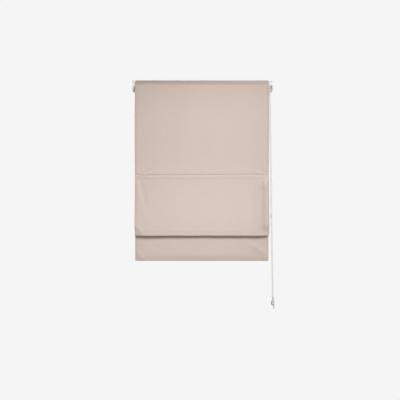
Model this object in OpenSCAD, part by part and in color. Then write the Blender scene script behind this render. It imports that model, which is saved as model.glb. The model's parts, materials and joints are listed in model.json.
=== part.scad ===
// Chain-operated roman blind: a headrail with a cord-winding shaft, a cloth with two
// rods and a weighted hem, and a bead chain held taut by a tensioner.
// X runs along the headrail, -Y is the room side, +Z is up.
// The origin is midway between the two bracket screws, on the mounting plane.

/* [Cloth] */
// Finished width of the cloth
cloth_width = 610; // [500:5:900]
// Thickness of the lined cloth
cloth_thick = 1.2; // [0.8:0.1:1.6]
// Cloth from its top edge to the upper rod
top_panel = 420; // [340:5:520]
// Cloth between the two rods
middle_panel = 400; // [360:5:460]
// Cloth from the lower rod to the bottom edge
flap_panel = 240; // [200:5:300]
// Cloth that hangs doubled behind the open fold
fold_overlap = 122; // [80:1:150]
// Forward reach of the fold below the upper rod
fold_reach = 14; // [9:1:20]
// Depth of the fold at its bottom edge
fold_depth = 16; // [12:1:18]
// Forward belly of the upper panel
upper_belly = 7; // [3:1:9]
// Lean of the flap towards the window between rod and hem
flap_lean = 6; // [2:1:8]
// Height of the hem that holds the bottom bar
hem_height = 36; // [30:1:50]

/* [Rods] */
// Radius of a fold rod
rod_radius = 2.2; // [1.8:0.1:2.6]
// Wall of a sewn rod pocket
pocket_wall = 0.75; // [0.5:0.05:1]
// Height of the tape that carries a pocket
pocket_tape_height = 16; // [12:1:22]
// Thickness of the tape that carries a pocket
pocket_tape_thick = 0.5; // [0.3:0.1:0.8]
// Distance from the cloth edge to the end of a pocket
pocket_inset = 18; // [14:1:30]
// Distance from the cloth edge to the end of a rod
rod_inset = 8; // [6:1:12]
// Thickness of the bottom bar
bar_thick = 3; // [2:0.5:4]
// Height of the bottom bar
bar_height = 22; // [16:1:26]
// Distance from the cloth edge to the end of the bottom bar
bar_inset = 6; // [5:1:12]

/* [Headrail] */
// Depth of the rail, front to back
rail_depth = 34; // [33:1:40]
// Height of the rail
rail_height = 34; // [33:1:38]
// Wall of the rail
rail_wall = 1.4; // [1.2:0.1:1.6]
// Rail that shows above the cloth
rail_reveal = 10.5; // [6:0.5:13]
// Inward lips that the clip brackets hold
clip_lip = 5; // [4:0.5:6]
// Height of the slot that the clip brackets use
clip_slot = 3.6; // [3:0.1:4]
// Inward lips that the spool cradles sit on
base_lip = 4.5; // [4:0.5:5]
// Height of the hook and loop tapes
tape_height = 20; // [14:1:22]
// Thickness of the hook tape
hook_thick = 1; // [0.8:0.1:1.4]
// Thickness of the loop tape
loop_thick = 0.9; // [0.6:0.1:1.2]

/* [Brackets] */
// Distance from the end of the rail to a bracket screw
bracket_inset = 85; // [60:5:120]
// Length of a bracket along the rail
bracket_length = 24; // [18:1:36]
// Thickness of the bracket steel
bracket_thick = 1.5; // [1.2:0.1:1.8]
// Radius of a bracket screw hole
bracket_hole_radius = 2.4; // [2:0.1:3]

/* [Ends] */
// Thickness of the idle end plate
idle_plate = 8.5; // [5:0.5:12]
// Gap between the idle end plate and the rail
idle_gap = 5; // [3:0.5:8]
// Thickness of the control end plate
control_plate = 6; // [4:0.5:10]
// Reach of an end plate in front of the shaft
end_front = 19; // [18.5:0.5:22]
// Reach of an end plate behind the shaft
end_back = 18; // [17:0.5:22]
// Drop of an end plate below the mounting plane
end_drop = 47; // [42:1:54]
// Radius of the swept lower front corner of an end plate
end_round = 22; // [12:1:24]
// Length of the plugs inside the rail
plug_length = 20; // [14:1:26]

/* [Drive] */
// Side of the square drive shaft
shaft_side = 5; // [4:0.5:6]
// Radius of a spool drum
drum_radius = 7; // [6:0.25:7.5]
// Radius of a spool flange
flange_radius = 10; // [9:0.25:10.5]
// Length of a spool between its outer faces
spool_length = 23; // [20:1:28]
// Distance from the end of the rail to the middle of a spool
spool_inset = 115; // [70:5:150]
// Radius of a lift cord
cord_radius = 0.75; // [0.6:0.05:0.9]
// Turns of cord left on each spool
cord_turns = 7; // [4:1:8]

/* [Chain] */
// Radius of a chain bead
bead_radius = 2.25; // [2:0.05:2.4]
// Spacing of the chain beads
bead_pitch = 6; // [5.8:0.1:6.2]
// Beads in the half turn over the chain wheel
wheel_beads = 7; // [7:1:8]
// Length of each hanging strand of the chain
chain_strand = 1002; // [720:6:1080]
// Beads in the half turn under the tensioner
saddle_beads = 5; // [4:1:6]
// Sideways slant of the chain from the wheel to the tensioner
chain_slant = 15; // [8:1:20]
// Radius of the chain between its beads
link_radius = 0.6; // [0.4:0.1:0.8]

/* [Tensioner] */
// Thickness of the tensioner base
base_thick = 3; // [2:0.5:4]
// Distance between the two screws of the tensioner
base_spacing = 34; // [32:1:44]
// Radius of a tensioner screw hole
base_hole_radius = 1.75; // [1.5:0.05:2.2]
// Half width of the tensioner base
base_half = 9; // [7:0.5:12]

/* [Hidden] */
$fn = 64;
overrun = 0.5;
clip_clear = 0.2;
slide_clear = 0.3;
run_clear = 0.1;
sew_clear = 0.1;

// Headrail section, seen along the rail
rail_top = -bracket_thick;
rail_bottom = rail_top - rail_height;
rail_half = rail_depth / 2;
cavity_half = rail_half - rail_wall;
slot_floor = rail_top - rail_wall - clip_slot;
slot_half = cavity_half - clip_lip;
cavity_top = slot_floor - rail_wall;
cavity_floor = rail_bottom + rail_wall;
mouth_half = cavity_half - base_lip;
shaft_z = (cavity_top + cavity_floor) / 2;
rail_end = cloth_width / 2;

// Brackets
bracket_spacing = 2 * (rail_end - bracket_inset);
bracket_overlap = 3.4;
bracket_grip = 3;
bracket_half = slot_half + bracket_overlap;
foot_top = rail_top - rail_wall - clip_clear;
foot_bottom = foot_top - bracket_thick;

// Cloth, followed from the top edge to the hem along its middle surface
cloth_y = -rail_half - hook_thick - loop_thick - cloth_thick / 2;
cloth_top = rail_top - rail_reveal;
tape_drop = 2;
tape_top = cloth_top - tape_drop;
upper_z = cloth_top - top_panel;
fold_z = upper_z - (middle_panel - fold_overlap);
lower_z = fold_z + fold_overlap;
hem_z = lower_z - flap_panel;
fold_radius = fold_depth / 2;
crest_radius = 1.1;
crest_gap = 5;
fold_front_y = cloth_y - fold_reach;
fold_back_y = fold_front_y + fold_depth;
crest_y = fold_back_y + crest_gap - crest_radius;
flap_y = crest_y + crest_radius;
crest_z = lower_z - crest_radius;
bar_clear = 0.3;
hem_radius = (bar_thick + cloth_thick) / 2 + bar_clear;
hem_y = flap_y + flap_lean;
hem_turn_z = hem_z + hem_radius + cloth_thick / 2;
bar_y = hem_y + hem_radius;
bar_floor = hem_turn_z;
sheet_gap = 0.3;
fold_start = upper_z - sheet_gap;
fold_stop = crest_z - sheet_gap;
sheet_steps = 24;
turn_steps = 12;

// Rods and pockets
pocket_bore = rod_radius + slide_clear;
pocket_radius = pocket_bore + pocket_wall;
pocket_sink = 0.2;
pocket_offset = cloth_thick / 2 + sew_clear + pocket_tape_thick + pocket_radius - pocket_sink;
upper_pocket_y = cloth_y + pocket_offset;
lower_pocket_y = flap_y + pocket_offset;
lower_pocket_z = crest_z - pocket_tape_height / 2;
rod_end = rail_end - rod_inset;
cap_length = 8;
cap_floor = 2;
cap_wall = 0.8;

// Spools, cords and what guides them
flange_thick = 1.5;
journal_radius = 4.5;
journal_length = 3;
spool_half = spool_length / 2;
spool_offset = rail_end - spool_inset;
socket_side = shaft_side + 2 * run_clear;
cord_y = -(drum_radius + run_clear + cord_radius);
turn_pitch_share = 1.9;
turn_pitch = turn_pitch_share * cord_radius;
turns_start = -spool_half + flange_thick + run_clear + cord_radius;
cord_shift = turns_start + (cord_turns + 1) * turn_pitch;
cradle_wall = 2.2;
cradle_floor = 2;
cradle_half = spool_half + slide_clear + cradle_wall;
cradle_foot = 2;
cradle_cheek = 8;
cord_slot = 6;
collar_wall = 1.4;
collar_length = 7;
collar_bore = pocket_radius + run_clear;
collar_radius = collar_bore + collar_wall;
eye_radius = 2.4;
eye_bore = 1.3;
eye_height = 4;
post_height = 8;
post_bore = cord_radius + run_clear;
knot_depth = 6;

// End plates and plugs
end_top = rail_top;
end_panel_inset = 2.5;
end_panel_depth = 0.8;
plug_wall = 1.6;
plug_half = cavity_half - slide_clear;
plug_floor = cavity_floor + slide_clear;
plug_top = cavity_top - slide_clear;
bush_radius = 5;
bush_length = 12;
bush_step = 2;
plug_tube_wall = 2.4;
idle_face = -rail_end - idle_gap;

// Control unit, from the rail outwards
housing_flange = 2.5;
wheel_side_clear = 0.5;
wheel_width = 9;
hub_disc = 1.4;
control_face = rail_end + housing_flange + wheel_side_clear + wheel_width + hub_disc + wheel_side_clear;
flange_face = rail_end + housing_flange;
wheel_start = flange_face + wheel_side_clear;
wheel_end = wheel_start + wheel_width;
chain_x = wheel_start + wheel_width / 2;
hub_radius = 5.3;
hub_disc_radius = 11;
core_bore = hub_radius + run_clear;
core_radius = 7.1;
core_length = 8.4;
wire_radius = 0.6;
wire_pitch = 1.1;
wire_turns = 6;
spring_radius = core_radius + run_clear + wire_radius;
wheel_bore = spring_radius + wire_radius + slide_clear;
wheel_pitch_radius = wheel_beads * bead_pitch / PI;
wheel_rim = 1;
wheel_radius = wheel_pitch_radius + wheel_rim;
pocket_clear = 0.25;
bead_room = bead_radius + pocket_clear;
hood_clear = 1;
hood_wall = 2;
hood_bore = wheel_pitch_radius + bead_radius + hood_clear;
hood_radius = hood_bore + hood_wall;
hood_skirt = 4;
pin_radius = 2;
pin_length = 4;
shaft_end = control_face - pin_length - 2 * slide_clear;

// Chain and tensioner
saddle_pitch_radius = saddle_beads * bead_pitch / PI;
strand_beads = round(chain_strand / bead_pitch);
strand_length = strand_beads * bead_pitch;
strand_inset = wheel_pitch_radius - saddle_pitch_radius;
strand_drop = sqrt(strand_length ^ 2 - chain_slant ^ 2 - strand_inset ^ 2);
saddle_x = chain_x + chain_slant;
saddle_z = shaft_z - strand_drop;
saddle_radius = saddle_pitch_radius - bead_radius - slide_clear;
saddle_half = 3;
cover_thick = 2.5;
cover_radius = saddle_pitch_radius + bead_radius + run_clear;
base_face = saddle_x + saddle_half + base_thick;
screw_radius = 1.5;
screw_head_radius = 3.2;
screw_head = 2;
screw_length = 8;
screw_slot_depth = 0.9;
screw_slot = 0.8;
joint_bead = 100;
joint_wall = 0.7;
joint_end = 1.2;

white_plastic = "#f0efec";
rail_grey = "#b9b1ad";
cloth_beige = "#d3c1b6";
tape_white = "#ebe8e2";
steel = "#b9bcc0";
clear_grey = "#dfe3e4";

// Extrudes a section drawn in Y and Z along X
module along_x(from, to) {
  translate([from, 0, 0])
    rotate([90, 0, 90])
      linear_extrude(to - from)
        children();
}

// A round bar along X
module round_x(radius, from, to) {
  translate([from, 0, 0])
    rotate([0, 90, 0])
      cylinder(r = radius, h = to - from);
}

// Turns a shape made about Z onto the X axis
module turned_x(x) {
  translate([x, 0, 0])
    rotate([0, 90, 0])
      children();
}

module at_shaft() {
  translate([0, 0, shaft_z])
    children();
}

// Outline of a sheet of one thickness along a path of its middle surface, with level ends
function end_step(from, to) = [0, to[1] - from[1]];
function path_step(p, i) =
  i == 0 ? end_step(p[0], p[1])
  : i == len(p) - 1 ? end_step(p[i - 1], p[i])
  : p[i + 1] - p[i - 1];
function path_side(p, i, off) = let (d = path_step(p, i)) p[i] + off * [-d[1], d[0]] / norm(d);
function sheet_outline(p, thick) = concat(
  [for (i = [0 : len(p) - 1]) path_side(p, i, thick / 2)],
  [for (i = [len(p) - 1 : -1 : 0]) path_side(p, i, -thick / 2)]
);
function eased(s) = s * s * (3 - 2 * s);
function turn(y, z, radius, from, to) =
  [for (i = [0 : turn_steps]) let (a = from + (to - from) * i / turn_steps)
    [y + radius * cos(a), z + radius * sin(a)]];

// Section of the rail: clip slot above, mechanism channel below
module rail_section() {
  difference() {
    translate([-rail_half, rail_bottom])
      square([rail_depth, rail_height]);
    translate([-cavity_half, cavity_floor])
      square([2 * cavity_half, cavity_top - cavity_floor]);
    translate([-mouth_half, rail_bottom - overrun])
      square([2 * mouth_half, rail_wall + 2 * overrun]);
    translate([-cavity_half, slot_floor])
      square([2 * cavity_half, clip_slot]);
    translate([-slot_half, slot_floor])
      square([2 * slot_half, clip_slot + rail_wall + overrun]);
  }
}

module headrail() {
  color(rail_grey)
    along_x(-rail_end, rail_end)
      rail_section();
}

// Spring-steel clip: a plate on the rail lips, with two feet hooked under them
module bracket(x) {
  color(steel)
    difference() {
      along_x(x - bracket_length / 2, x + bracket_length / 2) {
        translate([-bracket_half, -bracket_thick])
          square([2 * bracket_half, bracket_thick]);
        for (side = [0, 1]) {
          mirror([side, 0]) {
            translate([slot_half - clip_clear - bracket_thick, foot_bottom])
              square([bracket_thick, -foot_bottom]);
            translate([slot_half - clip_clear - bracket_thick, foot_bottom])
              square([bracket_thick + clip_clear + bracket_grip, bracket_thick]);
          }
        }
      }
      translate([x, 0, -bracket_thick - overrun])
        cylinder(r = bracket_hole_radius, h = bracket_thick + 2 * overrun);
    }
}

module hook_tape() {
  color(tape_white)
    along_x(-rail_end, rail_end)
      translate([-rail_half - hook_thick, tape_top - tape_height])
        square([hook_thick, tape_height]);
}

module loop_tape() {
  color(tape_white)
    along_x(-rail_end, rail_end)
      translate([-rail_half - hook_thick - loop_thick, tape_top - tape_height])
        square([loop_thick, tape_height]);
}

// Side outline of an end plate, with its lower front corner swept back
module end_section(inset) {
  front = -end_front + inset;
  bottom = -end_drop + inset;
  radius = end_round - inset;
  translate([front, bottom + radius])
    square([end_front + end_back - 2 * inset, end_top + end_drop - 2 * inset - radius]);
  translate([front + radius, bottom])
    square([end_front + end_back - 2 * inset - radius, radius]);
  intersection() {
    translate([front + radius, bottom + radius])
      circle(r = radius);
    translate([front, bottom])
      square([radius, radius]);
  }
}

// Ribbed plug that fills the mechanism channel round a bearing tube
module plug_section(bore) {
  difference() {
    union() {
      difference() {
        translate([-plug_half, plug_floor])
          square([2 * plug_half, plug_top - plug_floor]);
        translate([-plug_half + plug_wall, plug_floor + plug_wall])
          square([2 * (plug_half - plug_wall), plug_top - plug_floor - 2 * plug_wall]);
      }
      translate([0, shaft_z])
        circle(r = bore + plug_tube_wall);
      translate([-plug_half + plug_wall / 2, shaft_z - plug_wall / 2])
        square([2 * plug_half - plug_wall, plug_wall]);
      translate([-plug_wall / 2, plug_floor + plug_wall / 2])
        square([plug_wall, plug_top - plug_floor - plug_wall]);
    }
    translate([0, shaft_z])
      circle(r = bore);
  }
}

module idle_end_plate() {
  color(white_plastic) {
    difference() {
      along_x(idle_face - idle_plate, idle_face)
        end_section(0);
      along_x(idle_face - idle_plate - overrun, idle_face - idle_plate + end_panel_depth)
        end_section(end_panel_inset);
    }
    along_x(idle_face, -rail_end + plug_length)
      plug_section(bush_radius + run_clear);
  }
}

// Round bush on the idle end of the square shaft
module shaft_bush() {
  from = -rail_end + plug_length - bush_length - bush_step;
  color(white_plastic)
    at_shaft()
      difference() {
        round_x(bush_radius, from, from + bush_length);
        along_x(from - overrun, from + bush_length + overrun)
          square(socket_side, center = true);
      }
}

// Hood over the chain wheel, open below where the chain leaves
module hood_section() {
  difference() {
    union() {
      intersection() {
        circle(r = hood_radius);
        translate([-hood_radius, 0])
          square([2 * hood_radius, hood_radius]);
      }
      translate([-hood_radius, -hood_skirt])
        square([2 * hood_radius, hood_skirt]);
    }
    circle(r = hood_bore);
    translate([-hood_bore, -hood_skirt - overrun])
      square([2 * hood_bore, hood_skirt + overrun]);
  }
}

module control_housing() {
  color(white_plastic) {
    along_x(rail_end - plug_length, rail_end)
      plug_section(core_bore);
    difference() {
      along_x(rail_end, flange_face)
        translate([-rail_half, rail_bottom])
          square([rail_depth, rail_height]);
      at_shaft()
        round_x(core_bore, rail_end - overrun, flange_face + overrun);
    }
    at_shaft()
      along_x(flange_face, control_face)
        hood_section();
  }
}

// Fixed post that the brake spring grips
module clutch_core() {
  color(clear_grey)
    at_shaft()
      difference() {
        round_x(core_radius, flange_face, flange_face + core_length);
        round_x(core_bore, flange_face - overrun, flange_face + core_length + overrun);
      }
}

// Close-wound brake spring
module brake_spring() {
  color(steel)
    at_shaft()
      turned_x(chain_x - wire_turns * wire_pitch / 2)
        rotate_extrude()
          for (i = [0 : wire_turns - 1])
            translate([spring_radius, (i + 1 / 2) * wire_pitch])
              circle(r = wire_radius);
}

// Chain wheel with a pocket for each bead and a groove for the links
module chain_wheel() {
  color(white_plastic)
    at_shaft()
      difference() {
        round_x(wheel_radius, wheel_start, wheel_end);
        round_x(wheel_bore, wheel_start - overrun, wheel_end + overrun);
        for (i = [0 : 2 * wheel_beads - 1])
          rotate([i * 180 / wheel_beads, 0, 0])
            translate([0, wheel_pitch_radius, 0])
              round_x(bead_room, chain_x - bead_room, chain_x + bead_room);
        turned_x(chain_x)
          rotate_extrude()
            translate([wheel_pitch_radius - link_radius - pocket_clear, -link_radius - pocket_clear])
              square([wheel_rim + link_radius + pocket_clear + overrun, 2 * (link_radius + pocket_clear)]);
      }
}

// Hub that carries the wheel's turn through the core to the shaft
module drive_hub() {
  color(clear_grey)
    at_shaft()
      difference() {
        union() {
          round_x(hub_disc_radius, wheel_end, wheel_end + hub_disc);
          round_x(hub_radius, rail_end - plug_length / 2, wheel_end + hub_disc);
        }
        along_x(rail_end - plug_length, shaft_end + slide_clear)
          square(socket_side, center = true);
        round_x(pin_radius + run_clear, shaft_end, wheel_end + hub_disc + overrun);
      }
}

module control_end_plate() {
  color(white_plastic) {
    difference() {
      along_x(control_face, control_face + control_plate)
        end_section(0);
      along_x(control_face + control_plate - end_panel_depth, control_face + control_plate + overrun)
        end_section(end_panel_inset);
    }
    at_shaft()
      round_x(pin_radius, control_face - pin_length, control_face);
  }
}

module drive_shaft() {
  color(steel)
    at_shaft()
      along_x(-rail_end + plug_length - bush_length - bush_step, shaft_end)
        square(shaft_side, center = true);
}

// Cradle that snaps on the rail lips and carries one spool between two cheeks
module spool_cradle(x) {
  color(white_plastic)
    difference() {
      union() {
        translate([x - cradle_half - cradle_foot, -plug_half, cavity_floor])
          cube([2 * (cradle_half + cradle_foot), 2 * plug_half, cradle_floor]);
        translate([x - cradle_half, -mouth_half + slide_clear, rail_bottom])
          cube([2 * cradle_half, 2 * (mouth_half - slide_clear), rail_wall + cradle_floor / 2]);
        for (from = [x - cradle_half, x + cradle_half - cradle_wall])
          along_x(from, from + cradle_wall) {
            translate([0, shaft_z])
              circle(r = cradle_cheek);
            translate([-cradle_cheek, cavity_floor + cradle_floor / 2])
              square([2 * cradle_cheek, shaft_z - cavity_floor - cradle_floor / 2]);
          }
      }
      at_shaft()
        round_x(journal_radius + run_clear, x - cradle_half - overrun, x + cradle_half + overrun);
      translate([x + cord_shift - cord_slot / 2, cord_y - cord_slot / 2, rail_bottom - overrun])
        cube([cord_slot, cord_slot, rail_wall + cradle_floor + 2 * overrun]);
    }
}

module cord_spool(x) {
  color(white_plastic)
    at_shaft()
      difference() {
        union() {
          round_x(drum_radius, x - spool_half, x + spool_half);
          for (from = [x - spool_half, x + spool_half - flange_thick])
            round_x(flange_radius, from, from + flange_thick);
          round_x(journal_radius, x - spool_half - journal_length, x + spool_half + journal_length);
        }
        along_x(x - spool_length, x + spool_length)
          square(socket_side, center = true);
      }
}

// Turns of cord that lie on a spool
module wound_cord(x) {
  color(tape_white)
    at_shaft()
      turned_x(x + turns_start)
        rotate_extrude()
          for (i = [0 : cord_turns - 1])
            translate([drum_radius + run_clear + cord_radius, i * turn_pitch])
              circle(r = cord_radius);
}

// Run of cord from a spool, through the guide on the upper rod, to its anchor
module lift_cord(x) {
  bottom = lower_pocket_z + pocket_radius + post_height - knot_depth;
  color(tape_white)
    translate([x + cord_shift, cord_y, bottom])
      cylinder(r = cord_radius, h = shaft_z - bottom);
}

function upper_path() =
  [for (i = [0 : sheet_steps]) let (s = i / sheet_steps)
    [cloth_y - upper_belly * sin(180 * s) ^ 2, cloth_top - s * top_panel]];

function fold_path() = concat(
  [for (i = [0 : sheet_steps - 1]) let (s = i / sheet_steps)
    [cloth_y - fold_reach * s ^ 3 * (4 - 3 * s), fold_start - s * (fold_start - fold_z - fold_radius)]],
  turn(fold_front_y + fold_radius, fold_z + fold_radius, fold_radius, 180, 360),
  [for (i = [1 : sheet_steps]) let (s = i / sheet_steps)
    [fold_back_y + (crest_y - crest_radius - fold_back_y) * eased(s),
      fold_z + fold_radius + s * (fold_stop - fold_z - fold_radius)]]
);

function lower_path() = concat(
  turn(crest_y, crest_z, crest_radius, 180, 0),
  [for (i = [1 : sheet_steps - 1]) let (s = i / sheet_steps)
    [flap_y + flap_lean * eased(s), crest_z - s * (crest_z - hem_turn_z)]],
  turn(bar_y, hem_turn_z, hem_radius, 180, 360),
  [[hem_y + 2 * hem_radius, hem_z + hem_height]]
);

module cloth(path) {
  color(cloth_beige)
    along_x(-rail_end, rail_end)
      polygon(sheet_outline(path, cloth_thick));
}

// Tape with a sewn tube that takes a rod
module rod_pocket(y, z) {
  color(tape_white)
    along_x(-rail_end + pocket_inset, rail_end - pocket_inset)
      translate([y, z])
        difference() {
          union() {
            circle(r = pocket_radius);
            translate([pocket_sink - pocket_radius - pocket_tape_thick, -pocket_tape_height / 2])
              square([pocket_tape_thick, pocket_tape_height]);
          }
          circle(r = pocket_bore);
        }
}

module fold_rod(y, z) {
  color(tape_white)
    translate([0, y, z])
      round_x(rod_radius, -rod_end, rod_end);
}

module rod_caps(y, z) {
  color(white_plastic)
    translate([0, y, z])
      for (side = [0, 1])
        mirror([side, 0, 0])
          difference() {
            round_x(rod_radius + run_clear + cap_wall, rod_end - cap_length + cap_floor, rod_end + cap_floor);
            round_x(rod_radius + run_clear, rod_end - cap_length, rod_end);
          }
}

// Guide clipped round the upper pocket, with an eye for the lift cord
module cord_guide(x) {
  reach = cord_y - upper_pocket_y;
  translate([x + cord_shift, upper_pocket_y, upper_z])
    difference() {
      union() {
        round_x(collar_radius, -collar_length / 2, collar_length / 2);
        translate([-eye_radius, 0, -eye_height / 2])
          cube([2 * eye_radius, reach, eye_height]);
        translate([0, reach, -eye_height / 2])
          cylinder(r = eye_radius, h = eye_height);
      }
      round_x(collar_bore, -collar_length, collar_length);
      translate([-collar_length, -collar_radius - overrun, -collar_radius - overrun])
        cube([2 * collar_length, collar_radius + overrun - collar_bore / 2, 2 * (collar_radius + overrun)]);
      translate([0, reach, -eye_height])
        cylinder(r = eye_bore, h = 2 * eye_height);
    }
}

// Anchor clipped round the lower pocket, with a socket for the knotted cord
module cord_anchor(x) {
  reach = cord_y - lower_pocket_y;
  translate([x + cord_shift, lower_pocket_y, lower_pocket_z])
    difference() {
      union() {
        round_x(collar_radius, -collar_length / 2, collar_length / 2);
        translate([0, reach, 0])
          cylinder(r = eye_radius, h = pocket_radius + post_height);
      }
      round_x(collar_bore, -collar_length, collar_length);
      translate([-collar_length, -collar_radius - overrun, -collar_radius - overrun])
        cube([2 * collar_length, collar_radius + overrun - collar_bore / 2, 2 * (collar_radius + overrun)]);
      translate([0, reach, pocket_radius + post_height - knot_depth - run_clear])
        cylinder(r = post_bore, h = knot_depth + run_clear + overrun);
    }
}

module bottom_bar() {
  color(steel)
    translate([-rail_end + bar_inset, bar_y - bar_thick / 2, bar_floor])
      cube([cloth_width - 2 * bar_inset, bar_thick, bar_height]);
}

module bottom_bar_caps() {
  cap = bar_inset / 2;
  color(white_plastic)
    for (x = [-rail_end + bar_inset - cap, rail_end - bar_inset])
      translate([x, bar_y - bar_thick / 2, bar_floor])
        cube([cap, bar_thick, bar_height]);
}

// One straight strand of beads, hanging down from its upper end
module strand(beads) {
  length = beads * bead_pitch;
  translate([0, 0, -length])
    rotate_extrude()
      intersection() {
        union() {
          for (i = [0 : beads])
            translate([0, i * bead_pitch])
              circle(r = bead_radius);
          square([link_radius, length]);
        }
        translate([0, -bead_radius - overrun])
          square([bead_radius + overrun, length + 2 * (bead_radius + overrun)]);
      }
}

// Half turn between two strands in the plane of Y and Z, with the beads of its ends left to them
module half_turn(beads, radius) {
  for (i = [1 : beads - 1])
    rotate([i * 180 / beads, 0, 0])
      translate([0, radius, 0])
        sphere(r = bead_radius);
  rotate([90, 0, 90])
    rotate_extrude(angle = 180)
      translate([radius, 0])
        circle(r = link_radius);
}

// Puts a strand's own frame on the way from the wheel to the tensioner
module on_strand(side) {
  lean = asin(-side * strand_inset / strand_length);
  slant = -asin(chain_slant / (strand_length * cos(lean)));
  translate([chain_x, side * wheel_pitch_radius, shaft_z])
    rotate([lean, slant, 0])
      children();
}

module bead_chain() {
  color(white_plastic) {
    for (side = [-1, 1])
      on_strand(side)
        strand(strand_beads);
    translate([chain_x, 0, shaft_z])
      half_turn(wheel_beads, wheel_pitch_radius);
    translate([saddle_x, 0, saddle_z])
      rotate([180, 0, 0])
        half_turn(saddle_beads, saddle_pitch_radius);
  }
}

// Sleeve that joins the two ends of the chain over two beads
module chain_joint() {
  cavity = bead_radius + run_clear;
  half = bead_pitch / 2 + bead_radius + run_clear;
  color(clear_grey)
    on_strand(1)
      translate([0, 0, -(joint_bead + 1 / 2) * bead_pitch])
        rotate_extrude()
          difference() {
            translate([link_radius + run_clear, -half - joint_end])
              square([cavity + joint_wall - link_radius - run_clear, 2 * (half + joint_end)]);
            translate([0, -half])
              square([cavity, 2 * half]);
          }
}

// Base screwed to the side of the recess, with the saddle that the chain runs under
module tensioner_base() {
  color(white_plastic)
    translate([0, 0, saddle_z])
      difference() {
        union() {
          along_x(base_face - base_thick, base_face) {
            translate([-base_half, -base_spacing / 2])
              square([2 * base_half, base_spacing]);
            for (z = [-base_spacing / 2, base_spacing / 2])
              translate([0, z])
                circle(r = base_half);
          }
          round_x(saddle_radius, saddle_x - saddle_half, base_face - base_thick);
        }
        for (z = [-base_spacing / 2, base_spacing / 2])
          translate([0, 0, z])
            round_x(base_hole_radius, base_face - base_thick - overrun, base_face + overrun);
        round_x(screw_radius + run_clear, saddle_x - saddle_half - overrun, base_face - base_thick);
      }
}

module tensioner_cover() {
  from = saddle_x - saddle_half - cover_thick;
  color(white_plastic)
    translate([0, 0, saddle_z])
      difference() {
        round_x(cover_radius, from, from + cover_thick);
        round_x(screw_radius + run_clear, from - overrun, from + cover_thick + overrun);
      }
}

module tensioner_screw() {
  under = saddle_x - saddle_half - cover_thick;
  color(steel)
    translate([0, 0, saddle_z])
      difference() {
        union() {
          round_x(screw_head_radius, under - screw_head, under);
          round_x(screw_radius, under, under + screw_length);
        }
        translate([under - screw_head - overrun, -screw_head_radius - overrun, -screw_slot / 2])
          cube([screw_slot_depth + overrun, 2 * (screw_head_radius + overrun), screw_slot]);
      }
}

headrail();
bracket(-bracket_spacing / 2);  // bracket_left
bracket(bracket_spacing / 2);  // bracket_right
hook_tape();
loop_tape();
idle_end_plate();
shaft_bush();
control_housing();
clutch_core();
brake_spring();
chain_wheel();
drive_hub();
control_end_plate();
drive_shaft();
spool_cradle(-spool_offset);  // spool_cradle_left
spool_cradle(spool_offset);  // spool_cradle_right
cord_spool(-spool_offset);  // cord_spool_left
cord_spool(spool_offset);  // cord_spool_right
wound_cord(-spool_offset);  // wound_cord_left
wound_cord(spool_offset);  // wound_cord_right
lift_cord(-spool_offset);  // lift_cord_left
lift_cord(spool_offset);  // lift_cord_right
cloth(upper_path());  // upper_cloth
cloth(fold_path());  // fold_cloth
cloth(lower_path());  // lower_cloth
rod_pocket(upper_pocket_y, upper_z);  // upper_rod_pocket
rod_pocket(lower_pocket_y, lower_pocket_z);  // lower_rod_pocket
fold_rod(upper_pocket_y, upper_z);  // upper_rod
fold_rod(lower_pocket_y, lower_pocket_z);  // lower_rod
rod_caps(upper_pocket_y, upper_z);  // upper_rod_caps
rod_caps(lower_pocket_y, lower_pocket_z);  // lower_rod_caps
union() {  // cord_guides
  color(white_plastic) {
    cord_guide(-spool_offset);
    cord_guide(spool_offset);
  }
}
union() {  // cord_anchors
  color(white_plastic) {
    cord_anchor(-spool_offset);
    cord_anchor(spool_offset);
  }
}
bottom_bar();
bottom_bar_caps();
bead_chain();
chain_joint();
tensioner_base();
tensioner_cover();
tensioner_screw();
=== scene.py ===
"""Dresses a chain-operated roman blind: its cloth, trim, cords, chain and finishes."""

from __future__ import annotations

import json
import logging
import math
from collections.abc import Iterable, Sequence
from dataclasses import dataclass, field
from enum import Enum

import bmesh
import bpy
import numpy as np
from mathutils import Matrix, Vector

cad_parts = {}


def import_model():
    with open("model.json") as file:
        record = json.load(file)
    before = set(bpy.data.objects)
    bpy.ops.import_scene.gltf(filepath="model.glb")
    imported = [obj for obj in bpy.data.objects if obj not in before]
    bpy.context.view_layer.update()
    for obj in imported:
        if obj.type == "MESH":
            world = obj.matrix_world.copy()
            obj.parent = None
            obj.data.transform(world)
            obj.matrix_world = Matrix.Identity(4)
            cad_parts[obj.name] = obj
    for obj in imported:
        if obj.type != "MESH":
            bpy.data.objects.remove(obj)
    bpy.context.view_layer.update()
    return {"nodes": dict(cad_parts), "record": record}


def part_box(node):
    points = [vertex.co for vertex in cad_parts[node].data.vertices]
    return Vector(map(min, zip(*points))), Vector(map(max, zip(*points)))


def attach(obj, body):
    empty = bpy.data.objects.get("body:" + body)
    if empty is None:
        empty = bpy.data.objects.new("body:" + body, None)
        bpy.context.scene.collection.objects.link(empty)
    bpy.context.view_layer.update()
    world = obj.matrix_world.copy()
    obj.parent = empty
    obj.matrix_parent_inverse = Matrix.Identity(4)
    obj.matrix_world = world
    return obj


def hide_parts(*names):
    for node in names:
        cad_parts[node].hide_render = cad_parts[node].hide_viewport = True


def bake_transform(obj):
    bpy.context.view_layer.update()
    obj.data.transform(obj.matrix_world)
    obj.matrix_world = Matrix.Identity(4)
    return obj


LOG = logging.getLogger("roman_blind")
MM = 0.001
SEED = 11
# What Blender's wave texture multiplies its coordinates by
WAVE_BANDS = 20.0
CLOTH_UV = "cloth_uv"
# Mesh attribute with each point's share of painted shade where the cloth lies double
LAYER_SHADE_ATTRIBUTE = "layers"
# A direction that no tube here runs along, from which the tubes' sections are laid out
TUBE_SIDE = np.array([0.31, 0.87, 0.38])
Array = np.ndarray
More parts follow.
